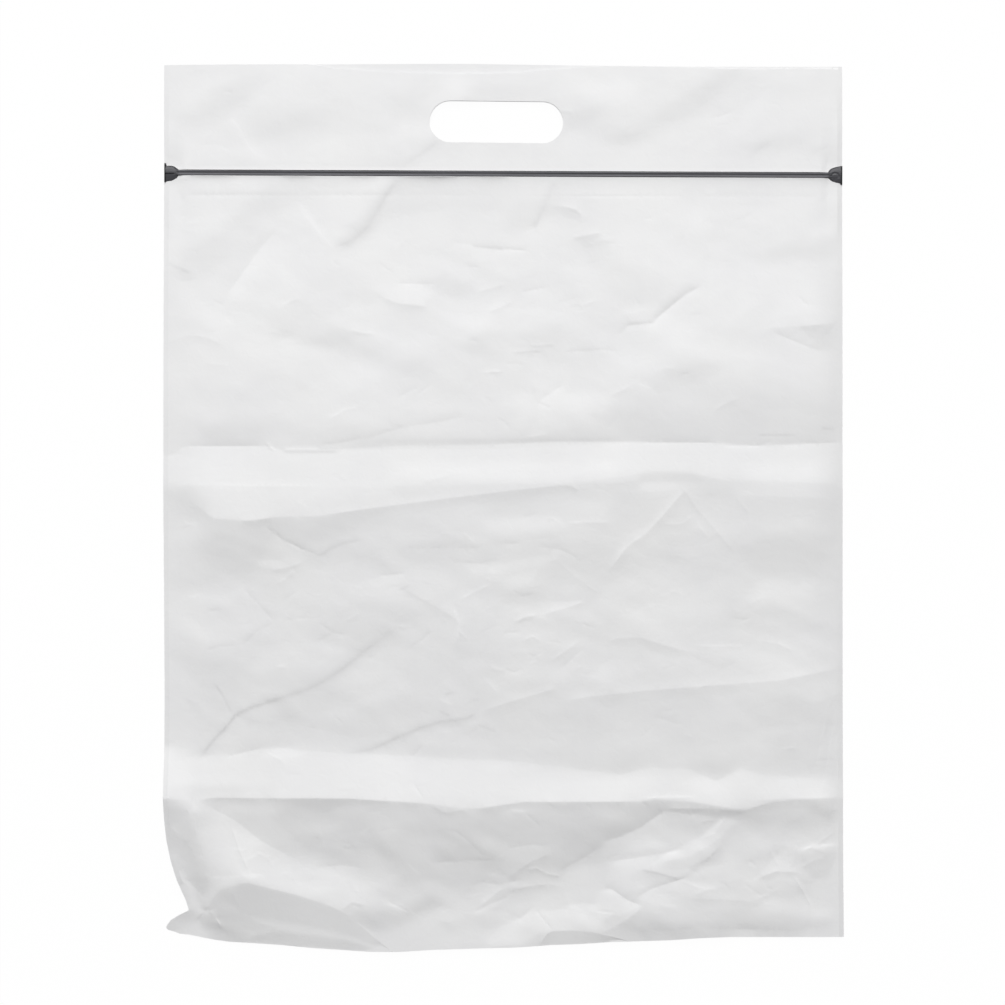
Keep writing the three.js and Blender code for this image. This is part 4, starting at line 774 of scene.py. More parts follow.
class FoldedFilm:
    """Heights of the drawn folds and facets, on a grid of one pixel: the tilts are summed, then the height whose
    rise towards the mouth comes nearest to them is found."""
    left, top, wide, tall, margin = 120, 20, 770, 980, 60

    def __init__(self):
        tilt = np.zeros((self.tall, self.wide))
        self.px, self.py = np.meshgrid(self.left + np.arange(self.wide) + 0.5, self.top + np.arange(self.tall) + 0.5)
        for points, up, up_reach, low, low_reach, *ends in FOLDS:
            line = np.array(points, float)
            near, px, py = self.window(line, max(up_reach, low_reach))
            d, side, share = nearest(line * [1, -1], px, -py)
            upper = np.clip(0.5 + side * d, 0, 1)
            first, last = ends or (END_FADE, END_FADE)
            fade = smooth(share / first) * smooth((1 - share) / last)
            span = up_reach + low_reach
            sharp = math.exp(-span / SHARP_SPAN)
            core = 1 - CORE_TAKES * sharp + CORE_GAIN * sharp * np.exp(-d / CORE)
            gain = FOLD_GAIN * (1 + CREASE_GAIN * math.exp(-span / CREASE_SPAN)) * core
            tilt[near] += gain * fade * (upper * up * np.clip(1 - d / up_reach, 0, 1) ** FALL_OFF
                                         + (1 - upper) * low * np.clip(1 - d / low_reach, 0, 1) ** FALL_OFF)
        for points, lean, soft in FACETS:
            ring = np.array(points, float)
            near, px, py = self.window(ring, soft)
            d = nearest(np.concatenate([ring, ring[:1]]), px, py)[0]
            d = np.where(inside(ring, px, py), d, -d)
            tilt[near] += FACET_GAIN * lean * smooth(0.5 + d / (2 * soft))
        rise = np.pad(-np.tan(np.radians(tilt)), self.margin)
        down = 2 * math.pi * np.fft.fftfreq(rise.shape[0], PIXEL)[:, None]
        along = 2 * math.pi * np.fft.fftfreq(rise.shape[1], PIXEL)[None, :]
        wave = 1j * down * np.fft.fft2(rise) / (down ** 2 + ACROSS * along ** 2 + (2 * math.pi / LONGEST) ** 2)
        self.height = np.real(np.fft.ifft2(wave))[self.margin:-self.margin, self.margin:-self.margin]

    def window(self, line, reach, spare=2):
        """Part of the grid within a reach of a line."""
        (x0, y0), (x1, y1) = line.min(0) - reach - spare, line.max(0) + reach + spare
        rows = slice(max(int(y0) - self.top, 0), int(y1) - self.top + 1)
        columns = slice(max(int(x0) - self.left, 0), int(x1) - self.left + 1)
        return (rows, columns), self.px[rows, columns], self.py[rows, columns]

    def at(self, x, y):
        """Height at a place on the bag."""
        column = np.clip(x / PIXEL + ORIGIN_PIXEL[0] - self.left - 0.5, 0, self.wide - 1.001)
        row = np.clip(ORIGIN_PIXEL[1] - y / PIXEL - self.top - 0.5, 0, self.tall - 1.001)
        i, j = row.astype(int), column.astype(int)
        u, v = row - i, column - j
        z = self.height
        return (z[i, j] * (1 - v) + z[i, j + 1] * v) * (1 - u) + (z[i + 1, j] * (1 - v) + z[i + 1, j + 1] * v) * u


folded_film = FoldedFilm()


def sides(x, y):
    """How far in from the nearer cut edge, and whether that is the left one."""
    left, right = line_on_bag(LEFT_EDGE), line_on_bag(RIGHT_EDGE)
    from_left, from_right = x - x_at(left, y), x_at(right, y) - x
    return np.clip(np.minimum(from_left, from_right), 0, None), from_left < from_right


def raised(x, y):
    """How high the nearer cut edge stands off the ground, and how much of that is left here."""
    edge, at_left = sides(x, y)
    folds = np.where(at_left, LEFT_LIFT * (lofted(np.full_like(x, -NEAR_EDGE), y) - by_row(STACK, y)),
                     RIGHT_LIFT * (lofted(np.full_like(x, NEAR_EDGE), y) - by_row(STACK, y)))
    lift = np.maximum(by_row(RAISED, y) * np.clip(folds, 0, None), at_left * by_row(CORNER_LIFT, y))
    return lift, lift * (1 - np.clip(edge / LIFT_RUN, 0, 1)) ** 2


def film_height(x, y):
    """Height of the front wall above the ground."""
    z = lofted(x, y)
    past_zip = y - ZIP_MIDDLE[1] - math.tan(ZIP_TILT) * x
    from_zip = np.abs(past_zip)
    crest = np.where(past_zip > 0, CREST, read_off(LOWER_CREST, x / PIXEL + ORIGIN_PIXEL[0]))
    edge, at_left = sides(x, y)

    # layers lying on each other: pressed at the zip's ends, thin in the folded-out corner
    stack = by_row(STACK, y)
    at_end = 1 - smooth((edge - CRUSH_LENGTH) / CRUSH_RAMP)
    stack = stack - by_row(PRESSED_ENDS, y) * (stack - CRUSH_TOP - FILM) * at_end
    ear = by_row(EAR_ROWS, y) * (1 - smooth((x - on_bag(EAR_COLUMN, 0)[0]) / EAR_RUN))
    stack = stack - ear * (stack - EAR_STACK)
    z = z - by_row(PRESSED_ENDS, y) * PRESSED_DOWN * at_end

    # swelling between the welds, with folds and crumples
    lift, under = raised(x, y)
    run = by_row(SIDE_RUN, y) * np.where(at_left, 1, RIGHT_RUN)
    swell = 1 - (1 - np.clip((edge - WELD_WIDTH) / run, 0, 1)) ** 2
    lying = stack + lift + swell * (z - stack - lift)
    by_weld = WELD_SHARE + (1 - WELD_SHARE) * swell
    by_zip = ZIP_SHARE + (1 - ZIP_SHARE) * smooth((from_zip - ZIP_CLEAR) / ZIP_RUN)
    lying = lying + by_weld * by_zip * (folded_film.at(x, y) + crumple(x, y))
    over = lying - stack - under
    lying = stack + under + np.where(over > PRESSED, over, PRESSED * np.exp(np.minimum(over / PRESSED - 1, 0)))
    lying = lying + crest * np.exp(-np.maximum(from_zip - ZIP_WIDTH / 2, 0) / CREST_RUN)

    # down to the welds, and to the foot beside the folded-out corner
    z = lift + WELD_EDGE + (lying - lift - WELD_EDGE) * np.clip(edge / WELD_WIDTH, 0, 1)
    corner = 1 - smooth((x - on_bag(CORNER_COLUMN, 0)[0]) / CORNER_RUN)
    corner = corner * (1 - np.clip((y - y_at(line_on_bag(FOOT_LINE), x)) / CORNER_DROP, 0, 1)) ** 2
    return z - corner * np.maximum(z - np.maximum(LEAF_LOW + FILM, under + WELD_EDGE), 0)


def lowest_near(x, y, reach, rings=(0.5, 1.0), spokes=10):
    """Lowest height of the front wall within a reach of each point."""
    z = film_height(x, y)
    for ring in rings:
        for k in range(spokes):
            a = 2 * math.pi * k / spokes
            z = np.minimum(z, film_height(x + ring * reach * math.cos(a), y + ring * reach * math.sin(a)))
    return z


# ---------------------------------------------------------------- meshes

def mesh_piece(name, points, faces):
    """Mesh object from millimetre points."""
    mesh = bpy.data.meshes.new(name)
    mesh.from_pydata([(x / METRE, y / METRE, z / METRE) for x, y, z in points], [], faces)
    mesh.validate()
    piece = bpy.data.objects.new(name, mesh)
    bpy.context.scene.collection.objects.link(piece)
    return piece


def carve(body, tool, operation="DIFFERENCE"):
    """Boolean between closed meshes; the tool is used up."""
    step = body.modifiers.new("carve", "BOOLEAN")
    step.operation, step.object, step.solver = operation, tool, "MANIFOLD"
    bpy.context.view_layer.update()
    seen = body.evaluated_get(bpy.context.evaluated_depsgraph_get())
    mesh = bpy.data.meshes.new_from_object(seen)
    body.modifiers.remove(step)
    old, body.data = body.data, mesh
    bpy.data.meshes.remove(old)
    bpy.data.objects.remove(tool)
    return body


def walked(line, step):
    """Points along a line, no further apart than the step."""
    found = [line[0]]
    for a, b in zip(line, line[1:]):
        count = max(1, math.ceil(np.hypot(*(b - a)) / step))
        found += [a + (b - a) * (k + 1) / count for k in range(count)]
    return np.array(found)


def block(name, plan, triangles, top, bottom):
    """Closed block over some triangles of a plan: shaped top, flat bottom."""
    used, flat = np.unique(triangles, return_inverse=True)
    faces = flat.reshape(-1, 3)
    edges = np.concatenate([faces[:, [0, 1]], faces[:, [1, 2]], faces[:, [2, 0]]])
    pairs = {(int(a), int(b)) for a, b in edges}
    follow = {a: b for a, b in pairs if (b, a) not in pairs}
    loop = [min(follow)]
    while follow[loop[-1]] != loop[0]:
        loop.append(follow[loop[-1]])
    n = len(used)
    points = [(x, y, z) for (x, y), z in zip(plan[used], top[used])] + [(*plan[used[k]], bottom) for k in loop]
    walls = []
    for k, a in enumerate(loop):
        b, low_a, low_b = loop[(k + 1) % len(loop)], n + k, n + (k + 1) % len(loop)
        walls.append((b, a, low_a, low_b))
    return mesh_piece(name, points, faces.tolist() + walls + [tuple(n + k for k in reversed(range(len(loop))))])


def grid_block(name, x, y, low, high):
    """Closed block over a grid of plan points, between a lower and an upper surface."""
    m, n = x.shape
    points = np.concatenate([np.stack([x, y, low], -1).reshape(-1, 3), np.stack([x, y, high], -1).reshape(-1, 3)])
    at = lambda i, j, k: k * m * n + i * n + j
    faces = []
    for i in range(m - 1):
        for j in range(n - 1):
            faces.append((at(i, j, 1), at(i + 1, j, 1), at(i + 1, j + 1, 1), at(i, j + 1, 1)))
            faces.append((at(i, j + 1, 0), at(i + 1, j + 1, 0), at(i + 1, j, 0), at(i, j, 0)))
    for i in range(m - 1):
        faces.append((at(i, 0, 0), at(i + 1, 0, 0), at(i + 1, 0, 1), at(i, 0, 1)))
        faces.append((at(i + 1, n - 1, 0), at(i, n - 1, 0), at(i, n - 1, 1), at(i + 1, n - 1, 1)))
    for j in range(n - 1):
        faces.append((at(0, j + 1, 0), at(0, j, 0), at(0, j, 1), at(0, j + 1, 1)))
        faces.append((at(m - 1, j, 0), at(m - 1, j + 1, 0), at(m - 1, j + 1, 1), at(m - 1, j, 1)))
    return mesh_piece(name, points, faces)


def tube(name, rings):
    """Closed mesh through rings of points, each walked anticlockwise as the last one sees it."""
    n = len(rings[0])
    points = [point for ring in rings for point in ring]
    faces = [tuple(reversed(range(n))), tuple(range(len(points) - n, len(points)))]
    for s in range(len(rings) - 1):
        for k in range(n):
            a, b = s * n + k, s * n + (k + 1) % n
            faces.append((a, b, b + n, a + n))
    return mesh_piece(name, points, faces)


def prism(name, outline, low, high):
    """Upright prism on an outline walked anticlockwise."""
    return tube(name, [[(x, y, z) for x, y in outline] for z in (low, high)])


def plan_mesh(outline, lines, step, fold_step=1.0):
    """Triangles over an outline: the given lines as edges, each with a finer field to both sides as far as its
    band, and a jittered field on the rest."""
    spots, edges, bands = [], [], []
    for line, band in [(np.concatenate([outline, outline[:1]]), 0.0)] + lines:
        points = walked(line, fold_step * ALONG_CREASE if band else min(step, OUTLINE_STEP))
        edges += [(len(spots) + k, len(spots) + k + 1) for k in range(len(points) - 1)]
        spots += list(points)
        bands += [band] * len(points)
    tree = kdtree.KDTree(len(spots))
    for k, (x, y) in enumerate(spots):
        tree.insert((x, y, 0), k)
    tree.balance()
    rng = np.random.default_rng(POINT_SEED)
    low, high = outline.min(0), outline.max(0)
    for pace, fine in ((fold_step, True), (step, False)):
        columns, rows = np.arange(low[0], high[0], pace), np.arange(low[1], high[1], pace * ROW_STEP)
        gx, gy = np.meshgrid(columns, rows, indexing="ij")
        gx = gx + 0.5 * pace * (np.arange(gx.shape[1]) % 2)
        field = np.stack([gx, gy], -1).reshape(-1, 2) + rng.uniform(-JITTER, JITTER, (gx.size, 2)) * pace
        field = field[inside(outline, field[:, 0], field[:, 1])]
        for p in field:
            _, k, d = tree.find((p[0], p[1], 0))
            if fine:
                wanted = OFF_CREASE * fold_step < d <= bands[k]
            else:
                wanted = d > max(bands[k] + OFF_BAND * step, OFF_LINE * step)
            if wanted:
                spots.append(p)
    found = delaunay_2d_cdt([Vector(p) for p in spots], edges, [], 0, MERGED)
    plan = np.array([tuple(p) for p in found[0]])
    triangles = np.array([f for f in found[2] if len(f) == 3])
    a, b, c = (plan[triangles[:, k]] for k in range(3))
    turned = (b[:, 0] - a[:, 0]) * (c[:, 1] - a[:, 1]) - (b[:, 1] - a[:, 1]) * (c[:, 0] - a[:, 0]) < 0
    triangles[turned] = triangles[turned][:, ::-1]
    middle = plan[triangles].mean(1)
    return plan, triangles[inside(outline, middle[:, 0], middle[:, 1])]


def keep_largest(piece):
    """Drops loose slivers that the cuts leave."""
    mesh = piece.data
    group = np.arange(len(mesh.vertices))
    ends = np.empty(len(mesh.edges) * 2, np.int32)
    mesh.edges.foreach_get("vertices", ends)
    a, b = ends.reshape(-1, 2).T
    while True:
        low = np.minimum(group[a], group[b])
        before = group.copy()
        np.minimum.at(group, a, low)
        np.minimum.at(group, b, low)
        group = group[group]
        if (group == before).all():
            break
    names, counts = np.unique(group, return_counts=True)
    if len(names) > 1:
        keep = names[counts.argmax()]
        points = np.empty(len(mesh.vertices) * 3)
        mesh.vertices.foreach_get("co", points)
        faces = [tuple(p.vertices) for p in mesh.polygons if group[p.vertices[0]] == keep]
        used = sorted({v for f in faces for v in f})
        rank = {v: k for k, v in enumerate(used)}
        clean = bpy.data.meshes.new(piece.name)
        clean.from_pydata(points.reshape(-1, 3)[used].tolist(), [], [tuple(rank[v] for v in f) for f in faces])
        piece.data = clean
        bpy.data.meshes.remove(mesh)


# ---------------------------------------------------------------- film

def bag_outline():
    """Outline of the lying bag, run on past the mouth, and the mouth's own line."""
    mouth, right, foot, left = (line_on_bag(part) for part in (MOUTH_LINE, RIGHT_EDGE, FOOT_LINE, LEFT_EDGE))
    past = np.array([0, PAST_MOUTH])
    return np.concatenate([left, foot[1:-1], right[::-1], [right[0] + past], [left[0] + past]]), mouth


def pocket_outline():
    """Inside of the bag: within the side welds and the fold of the foot, open at the mouth."""
    right, foot, left, pinch = (line_on_bag(part) for part in (RIGHT_EDGE, FOOT_LINE, LEFT_EDGE, PINCH))
    past, weld = np.array([0, PAST_MOUTH]), np.array([WELD_WIDTH, 0])
    keep = left[:, 1] > on_bag(0, PINCH_ROW)[1]
    left_weld = np.concatenate([[left[0] + past + weld], left[keep] + weld, pinch])
    right_weld = np.concatenate([[right[0] + past - weld], right[:-1] - weld, [right[-1] + [-WELD_WIDTH, FOLD_WALL]]])
    within = (foot[:, 0] > pinch[-1, 0] + OFF_CORNER) & (foot[:, 0] < right_weld[-1, 0] - OFF_CORNER)
    inner_foot = foot[within] + [0, FOLD_WALL]
    return np.concatenate([left_weld, inner_foot, right_weld[::-1]])


def lower_leaf(x, y):
    """Top of the gusset's lower leaf: flat, but raised towards the rim where the gusset stands open."""
    z = np.full(x.shape, LEAF_LOW + FILM)
    foot_y = y_at(line_on_bag(FOOT_LINE), x)
    for opening in OPENINGS:
        rim, side = line_on_bag(opening["rim"]), line_on_bag(opening["side"])
        rim_y = y_at(rim, x)
        across = smooth((rim[-1, 0] - x) / LEAF_END)
        depth = np.maximum(rim_y - foot_y, LEAF_DEPTH)
        share = (y - foot_y) / depth
        rim_height = film_height(x.ravel(), rim_y.ravel()).reshape(x.shape)
        rise = read_off(opening["fall"], share)
        for end, run in ((x - rim[0, 0], opening["ends"][0]), (rim[-1, 0] - x, opening["ends"][1])):
            rise = np.maximum(rise, 1 - smooth(end / run))
        rise = np.where(share > 1, 1 - np.clip((share - 1) * depth / LEAF_BEHIND, 0, 1), rise)
        over = across * rise * np.maximum(rim_height + LEAF_OVER * FILM - LEAF_LOW - FILM, 0)
        over = over + BESIDE_RISE * across * (1 - smooth((x - x_at(side, y)) / BESIDE_RUN))
        within = (rim_y > foot_y) & (x > rim[0, 0] - LEAF_LEFT) & (x < rim[-1, 0])
        z = np.maximum(z, LEAF_LOW + FILM + np.where(within, over, 0))
    return z + raised(x, y)[1]


def opening_room(opening, grow, sunk):
    """Room above the lower leaf where the gusset stands open, from foot to rim; grown all round, and sunk into the
    leaf."""
    rim, side = line_on_bag(opening["rim"]), line_on_bag(opening["side"])
    span = np.linspace(rim[0, 0] + OPENING_IN, rim[-1, 0] - OPENING_IN, OPENING_COLUMNS)
    top = y_at(rim, span) + grow
    low = np.where(span < side[-1, 0], y_at(side, span), on_bag(0, OPENING_ROW)[1]) - grow
    low = np.minimum(low, top - OPENING_THIN)
    x = np.repeat(span[:, None], OPENING_ROWS, 1)
    y = low[:, None] + (top - low)[:, None] * np.linspace(0, 1, OPENING_ROWS)
    return grid_block("opening", x, y, lower_leaf(x, y) - sunk, np.full(x.shape, HIGH))


def gusset_slit():
    """Slit between the gusset's two leaves, from the foot to the inner fold that they share: a grid, its lower and
    its upper side. Where the gusset stands open it starts behind the rim."""
    span = np.linspace(-GUSSET_HALF, GUSSET_HALF, GUSSET_COLUMNS)
    bottom = np.full(span.shape, on_bag(0, PAST_FOOT_ROW)[1])
    for opening in OPENINGS:
        rim = line_on_bag(opening["rim"])
        over = ((span > rim[0, 0] - RIM_MARGIN) | (opening is OPENED_CORNER)) & (span < rim[-1, 0] + RIM_MARGIN)
        bottom = np.where(over, y_at(rim, span) + RIM_MARGIN, bottom)
    x = np.repeat(span[:, None], GUSSET_ROWS, 1)
    deep = on_bag(0, INNER_FOLD_ROW)[1] - bottom
    y = bottom[:, None] + deep[:, None] * np.linspace(0, 1, GUSSET_ROWS)
    front_low = lowest_near(x.ravel(), y.ravel(), SLIT_REACH).reshape(x.shape)
    low = lower_leaf(x, y)
    high = np.minimum(low + SLIT_GAP, front_low - 4 * FILM)
    return x, y, np.minimum(low, high - 2 * FILM), high


def side_wedge(at_left, height):
    """Room under a side edge that stands off the ground, up to the film or into it by a height."""
    line = line_on_bag(LEFT_EDGE if at_left else RIGHT_EDGE)
    rows = np.concatenate([np.linspace(*WEDGE_ROWS), np.arange(*CLOSE_ROWS)])
    rows = np.unique(np.concatenate([on_bag(0, rows)[1], line[:, 1]]))
    away = np.array(WEDGE_STEPS)
    x = x_at(line, rows)[None, :] + (away if at_left else -away[::-1])[:, None]
    y = np.repeat(rows[None, :], len(away), 0)
    room = np.min([raised(x, y + dy)[1] for dy in WEDGE_UNDER], 0)
    return grid_block("wedge", x, y, np.full(x.shape, WEDGE_LOW), room + height - WEDGE_CLEAR)


def at_zip(x, y):
    """From along and across the zip to the bag."""
    c, s = math.cos(ZIP_TILT), math.sin(ZIP_TILT)
    return ZIP_MIDDLE[0] + c * x - s * y, ZIP_MIDDLE[1] + s * x + c * y


def zip_slot():
    """Outline of the slot in the front wall, widened round the crushed ends, anticlockwise."""
    grow, edge, bead = SLOT_CLEARANCE, BAG_WIDTH / 2, BEAD_HEIGHT / 2 + SLOT_CLEARANCE
    upper, lower = [], []
    for side, pad in ((1, RIGHT_PAD), (-1, LEFT_PAD)):
        ends = [(edge + PAST_EDGE, bead, bead), (edge - BEAD_WIDTH - grow, bead, bead)]
        ends += [(edge - reach - grow, up + grow, down + grow) for reach, up, down in pad if reach > BEAD_WIDTH]
        for x, up, down in ends[::side]:
            upper.append((side * x, up))
            lower.append((side * x, -down))
    return [at_zip(x, y) for x, y in upper + lower[::-1]]


def hand_hole():
    """Outline of the hand hole, anticlockwise."""
    ends = line_on_bag(HOLE_ENDS)
    turn = math.atan2(*(ends[1] - ends[0])[::-1])
    hole = []
    for centre, start in ((ends[1], -0.5), (ends[0], 0.5)):
        for k in range(HOLE_STEPS + 1):
            a = turn + math.pi * (start + k / HOLE_STEPS)
            hole.append((centre[0] + HOLE_RADIUS * math.cos(a), centre[1] + HOLE_RADIUS * math.sin(a)))
    return hole


def crease_lines(mouth):
    """Lines that the front wall's mesh follows, each with the band of finer mesh beside it: mouth, welds, folds,
    sharp facets and guide lines, rims of the opened gusset, and the zip."""
    weld = np.array([WELD_WIDTH, 0])
    lines = [(mouth, 0.0), (line_on_bag(LEFT_EDGE[:-EAR_POINTS]) + weld, 0.0), (line_on_bag(RIGHT_EDGE) - weld, 0.0)]
    lines += [(line_on_bag(points), NARROW_BAND if max(up_reach, low_reach) <= NARROW_REACH else WIDE_BAND)
              for points, _, up_reach, _, low_reach, *_ in FOLDS]
    lines += [(line_on_bag(points + points[:1]), WIDE_BAND) for points, _, soft in FACETS if soft <= SHARP_FACET]
    lines += [(line_on_bag(points), WIDE_BAND) for points, soft in GUIDES[WALL_GUIDES] if soft <= SHARP_GUIDE]
    lines += [(line_on_bag(opening["rim"][:-1]), WIDE_BAND) for opening in OPENINGS]
    lines += [(np.array([at_zip(-ZIP_LINE_END, past), at_zip(ZIP_LINE_END, past)]), 0.0) for past in ZIP_LINES]
    return lines


def bag_film():
    """One web of film: front wall, back wall and gusset, melted together along the sides. Inside the pocket the
    front wall leaves out the small wrinkles, so it is a little thicker beside them."""
    outline, mouth = bag_outline()
    plan, triangles = plan_mesh(outline, crease_lines(mouth), WALL_STEP, FOLD_STEP)
    middle = plan[triangles].mean(1)
    below_mouth = middle[:, 1] < y_at(mouth, middle[:, 0])
    film = block("film", plan, triangles[below_mouth], film_height(plan[:, 0], plan[:, 1]), 0.0)
    plan, triangles = plan_mesh(pocket_outline(), [], POCKET_STEP)
    ceiling = np.maximum(lowest_near(plan[:, 0], plan[:, 1], POCKET_STEP) - FILM, 2 * FILM)
    pocket = block("pocket", plan, triangles, ceiling, FILM)
    for at_left in (True, False):
        carve(pocket, side_wedge(at_left, FILM))
        carve(film, side_wedge(at_left, 0.0))

    # gusset: the pocket ends round its leaves and round what stands open, then the leaves are parted
    x, y, low, high = gusset_slit()
    carve(pocket, grid_block("leaves", x, y, low - FILM, high + FILM))
    for opening in OPENINGS:
        carve(pocket, opening_room(opening, RIM_WALL, FILM))
    carve(film, pocket)
    inner = np.abs(x[:, 0]) < BAG_WIDTH / 2 - WELD_WIDTH - SLIT_OFF_WELD
    y = np.minimum(y, on_bag(0, INNER_FOLD_ROW)[1] - FOLD_WALL)
    carve(film, grid_block("slit", x[inner], y[inner], low[inner], high[inner]))
    for opening in OPENINGS:
        carve(film, opening_room(opening, 0, 0))

    # hand hole through both walls, slot that the zip's spine shows through, and the lower front lip
    carve(film, prism("hole", hand_hole(), BELOW, HIGH))
    carve(film, prism("slot", zip_slot(), FILM, HIGH))
    carve(film, prism("lip", line_on_bag(LIP_LINE + LIP_CUT), BACK_LIP, HIGH))
    keep_largest(film)
    return film


# ---------------------------------------------------------------- zip

def ridges(drop):
    """Front of the spine across the zip: two rounded ridges, sunk by a drop."""
    arc = [(RIDGE_MIDDLE + RIDGE_HALF * math.cos(a), SPINE_TOP - RIDGE_RISE - drop + RIDGE_RISE * math.sin(a))
           for a in np.linspace(0, math.pi, RIDGE_POINTS)]
    return arc + [(-y, z) for y, z in reversed(arc)]


def track_section():
    """Section of the front track, anticlockwise: hooked jaws behind, a welding flange to each side, two ridges in
    front."""
    half, flange_top = ZIP_WIDTH / 2, CHAMBER_TOP + FLANGE
    return [(THROAT, JAW_LOW), (half, JAW_LOW), (half, CHAMBER_TOP), (FLANGE_UP, CHAMBER_TOP),
            (FLANGE_UP, flange_top), (half, flange_top), *ridges(0), (-half, flange_top),
            (-FLANGE_DOWN, flange_top), (-FLANGE_DOWN, CHAMBER_TOP), (-half, CHAMBER_TOP), (-half, JAW_LOW),
            (-THROAT, JAW_LOW), (-THROAT, JAW_TOP), (-CHAMBER, JAW_TOP), (-CHAMBER, CHAMBER_TOP),
            (CHAMBER, CHAMBER_TOP), (CHAMBER, JAW_TOP), (THROAT, JAW_TOP)]


def spine_end(side):
    """Spine at one end, its ridges sinking into the crushed end."""
    half, crush = ZIP_WIDTH / 2, BAG_WIDTH / 2 - CRUSH_LENGTH
    places = [(crush - CRUSH_RAMP + past, drop) for past, drop in RUN_OUT]
    places += [(crush + past, drop) for past, drop in SUNK_IN]
    rings = []
    for x, drop in places:
        front = [(y, max(z, JAW_LOW + END_THICK)) for y, z in ridges(drop)]
        rings.append([(side * x, y, z) for y, z in [(half, JAW_LOW), *front, (-half, JAW_LOW)]])
    return tube("end", rings[::side])


def crushed_pad(side, pad):
    """Crushed end: domed, with fine ribs, a notch at the left end and a pressed ring at the right end."""
    across = np.array(PAD_ACROSS)
    reach = np.linspace(PAD_START, CRUSH_LENGTH, PAD_STEPS)
    up, down = (read_off([(p[0], p[k]) for p in pad], reach) for k in (1, 2))
    y = np.concatenate([-down[:, None] * across[::-1], up[:, None] * across[1:]], 1)
    share = np.concatenate([-across[::-1], across[1:]])[None, :]
    inward = np.repeat(reach[:, None], y.shape[1], 1)
    top = CRUSH_TOP - PAD_SINK + DOME * (1 - np.abs(share) ** DOME_ROUND)
    top = top + RIB * np.cos(2 * math.pi * y / RIB_PITCH) * (1 - share ** RIB_END)
    if side < 0:
        notch = NOTCH * np.clip(1 - np.abs(y - NOTCH_MIDDLE) / NOTCH_HALF, 0, 1)
        top -= notch * smooth((NOTCH_LENGTH - inward) / NOTCH_END)
    else:
        ring = np.hypot(inward - RING_IN, y - RING_ACROSS)
        groove = GROOVE * np.exp(-((ring - RING_RADIUS) / GROOVE_WIDTH) ** 2)
        top -= groove * smooth((y - RING_OPEN) / RING_FADE) + DISH * smooth((RING_RADIUS - ring) / DISH_EDGE)
    x = side * (BAG_WIDTH / 2 - inward)
    order = slice(None) if side < 0 else slice(None, None, -1)
    top = np.maximum(top, JAW_LOW + PAD_THIN)
    return grid_block("pad", x[order], y[order], np.full(x.shape, JAW_LOW), top[order])


def melt_bead(side):
    """Bead of melt along the cut at one end of the zip."""
    bx, by = np.meshgrid(np.linspace(-1, 1, BEAD_COLUMNS), np.linspace(-1, 1, BEAD_ROWS), indexing="ij")
    top = CRUSH_TOP + BEAD_RISE - BEAD_ROUND * bx ** 4 - BEAD_ENDS * by ** 8
    x = side * (BAG_WIDTH / 2 - BEAD_WIDTH / 2) + bx * BEAD_WIDTH / 2
    return grid_block("bead", x, by * BEAD_HEIGHT / 2, np.full(bx.shape, JAW_LOW), top)


def zip_track():
    """Front track of the zip, made straight and then turned to its place: a long bar, and ends that are crushed
    flat in the welds, with a bead of melt along the cut."""
    run = BAG_WIDTH / 2 - CRUSH_LENGTH - CRUSH_RAMP
    track = tube("zip_front_track", [[(x, y, z) for y, z in track_section()] for x in (-run, run)])
    for side, pad in ((-1, LEFT_PAD), (1, RIGHT_PAD)):
        for end in (spine_end(side), crushed_pad(side, pad), melt_bead(side)):
            carve(track, end, "UNION")
    points = np.empty(len(track.data.vertices) * 3)
    track.data.vertices.foreach_get("co", points)
    points = points.reshape(-1, 3)
    x, y = at_zip(points[:, 0] * METRE, points[:, 1] * METRE)
    track.data.vertices.foreach_set("co", np.stack([x / METRE, y / METRE, points[:, 2]], 1).ravel())
    track.data.update()
    return track


# ---------------------------------------------------------------- materials

def linear(code):
    """sRGB hex to linear colour."""
    parts = [int(code[k:k + 2], 16) / 255 for k in (1, 3, 5)]
    return tuple(p / 12.92 if p <= 0.04045 else ((p + 0.055) / 1.055) ** 2.4 for p in parts) + (1.0,)


WHITE = linear("#FFFFFF")


def every(size):
    """Scale of a pattern whose features are so many millimetres apart."""
    return METRE / size


def add(tree, kind, settings=None, links=None):
    """One node with its settings (attribute or input name) and links (input name to output socket)."""
    node = tree.nodes.new(kind)
    for key, value in (settings or {}).items():
        if isinstance(key, str) and hasattr(node, key):
            setattr(node, key, value)
        else:
            node.inputs[key].default_value = value
    for key, socket in (links or {}).items():
        tree.links.new(socket, node.inputs[key])
    return node


def new_material(name):
    """Empty material and its node tree."""
    material = bpy.data.materials.new(name)
    material.use_nodes = True
    tree = material.node_tree
    tree.nodes.clear()
    return material, tree


def two_tones(tree, pattern, dark, light):
    """Colour between two close tones, as a pattern says."""
    tone = add(tree, "ShaderNodeValToRGB", {}, {"Fac": pattern})
    for element, position, code in zip(tone.color_ramp.elements, (0.3, 0.7), (dark, light)):
        element.position, element.color = position, linear(code)
    return tone.outputs[0]


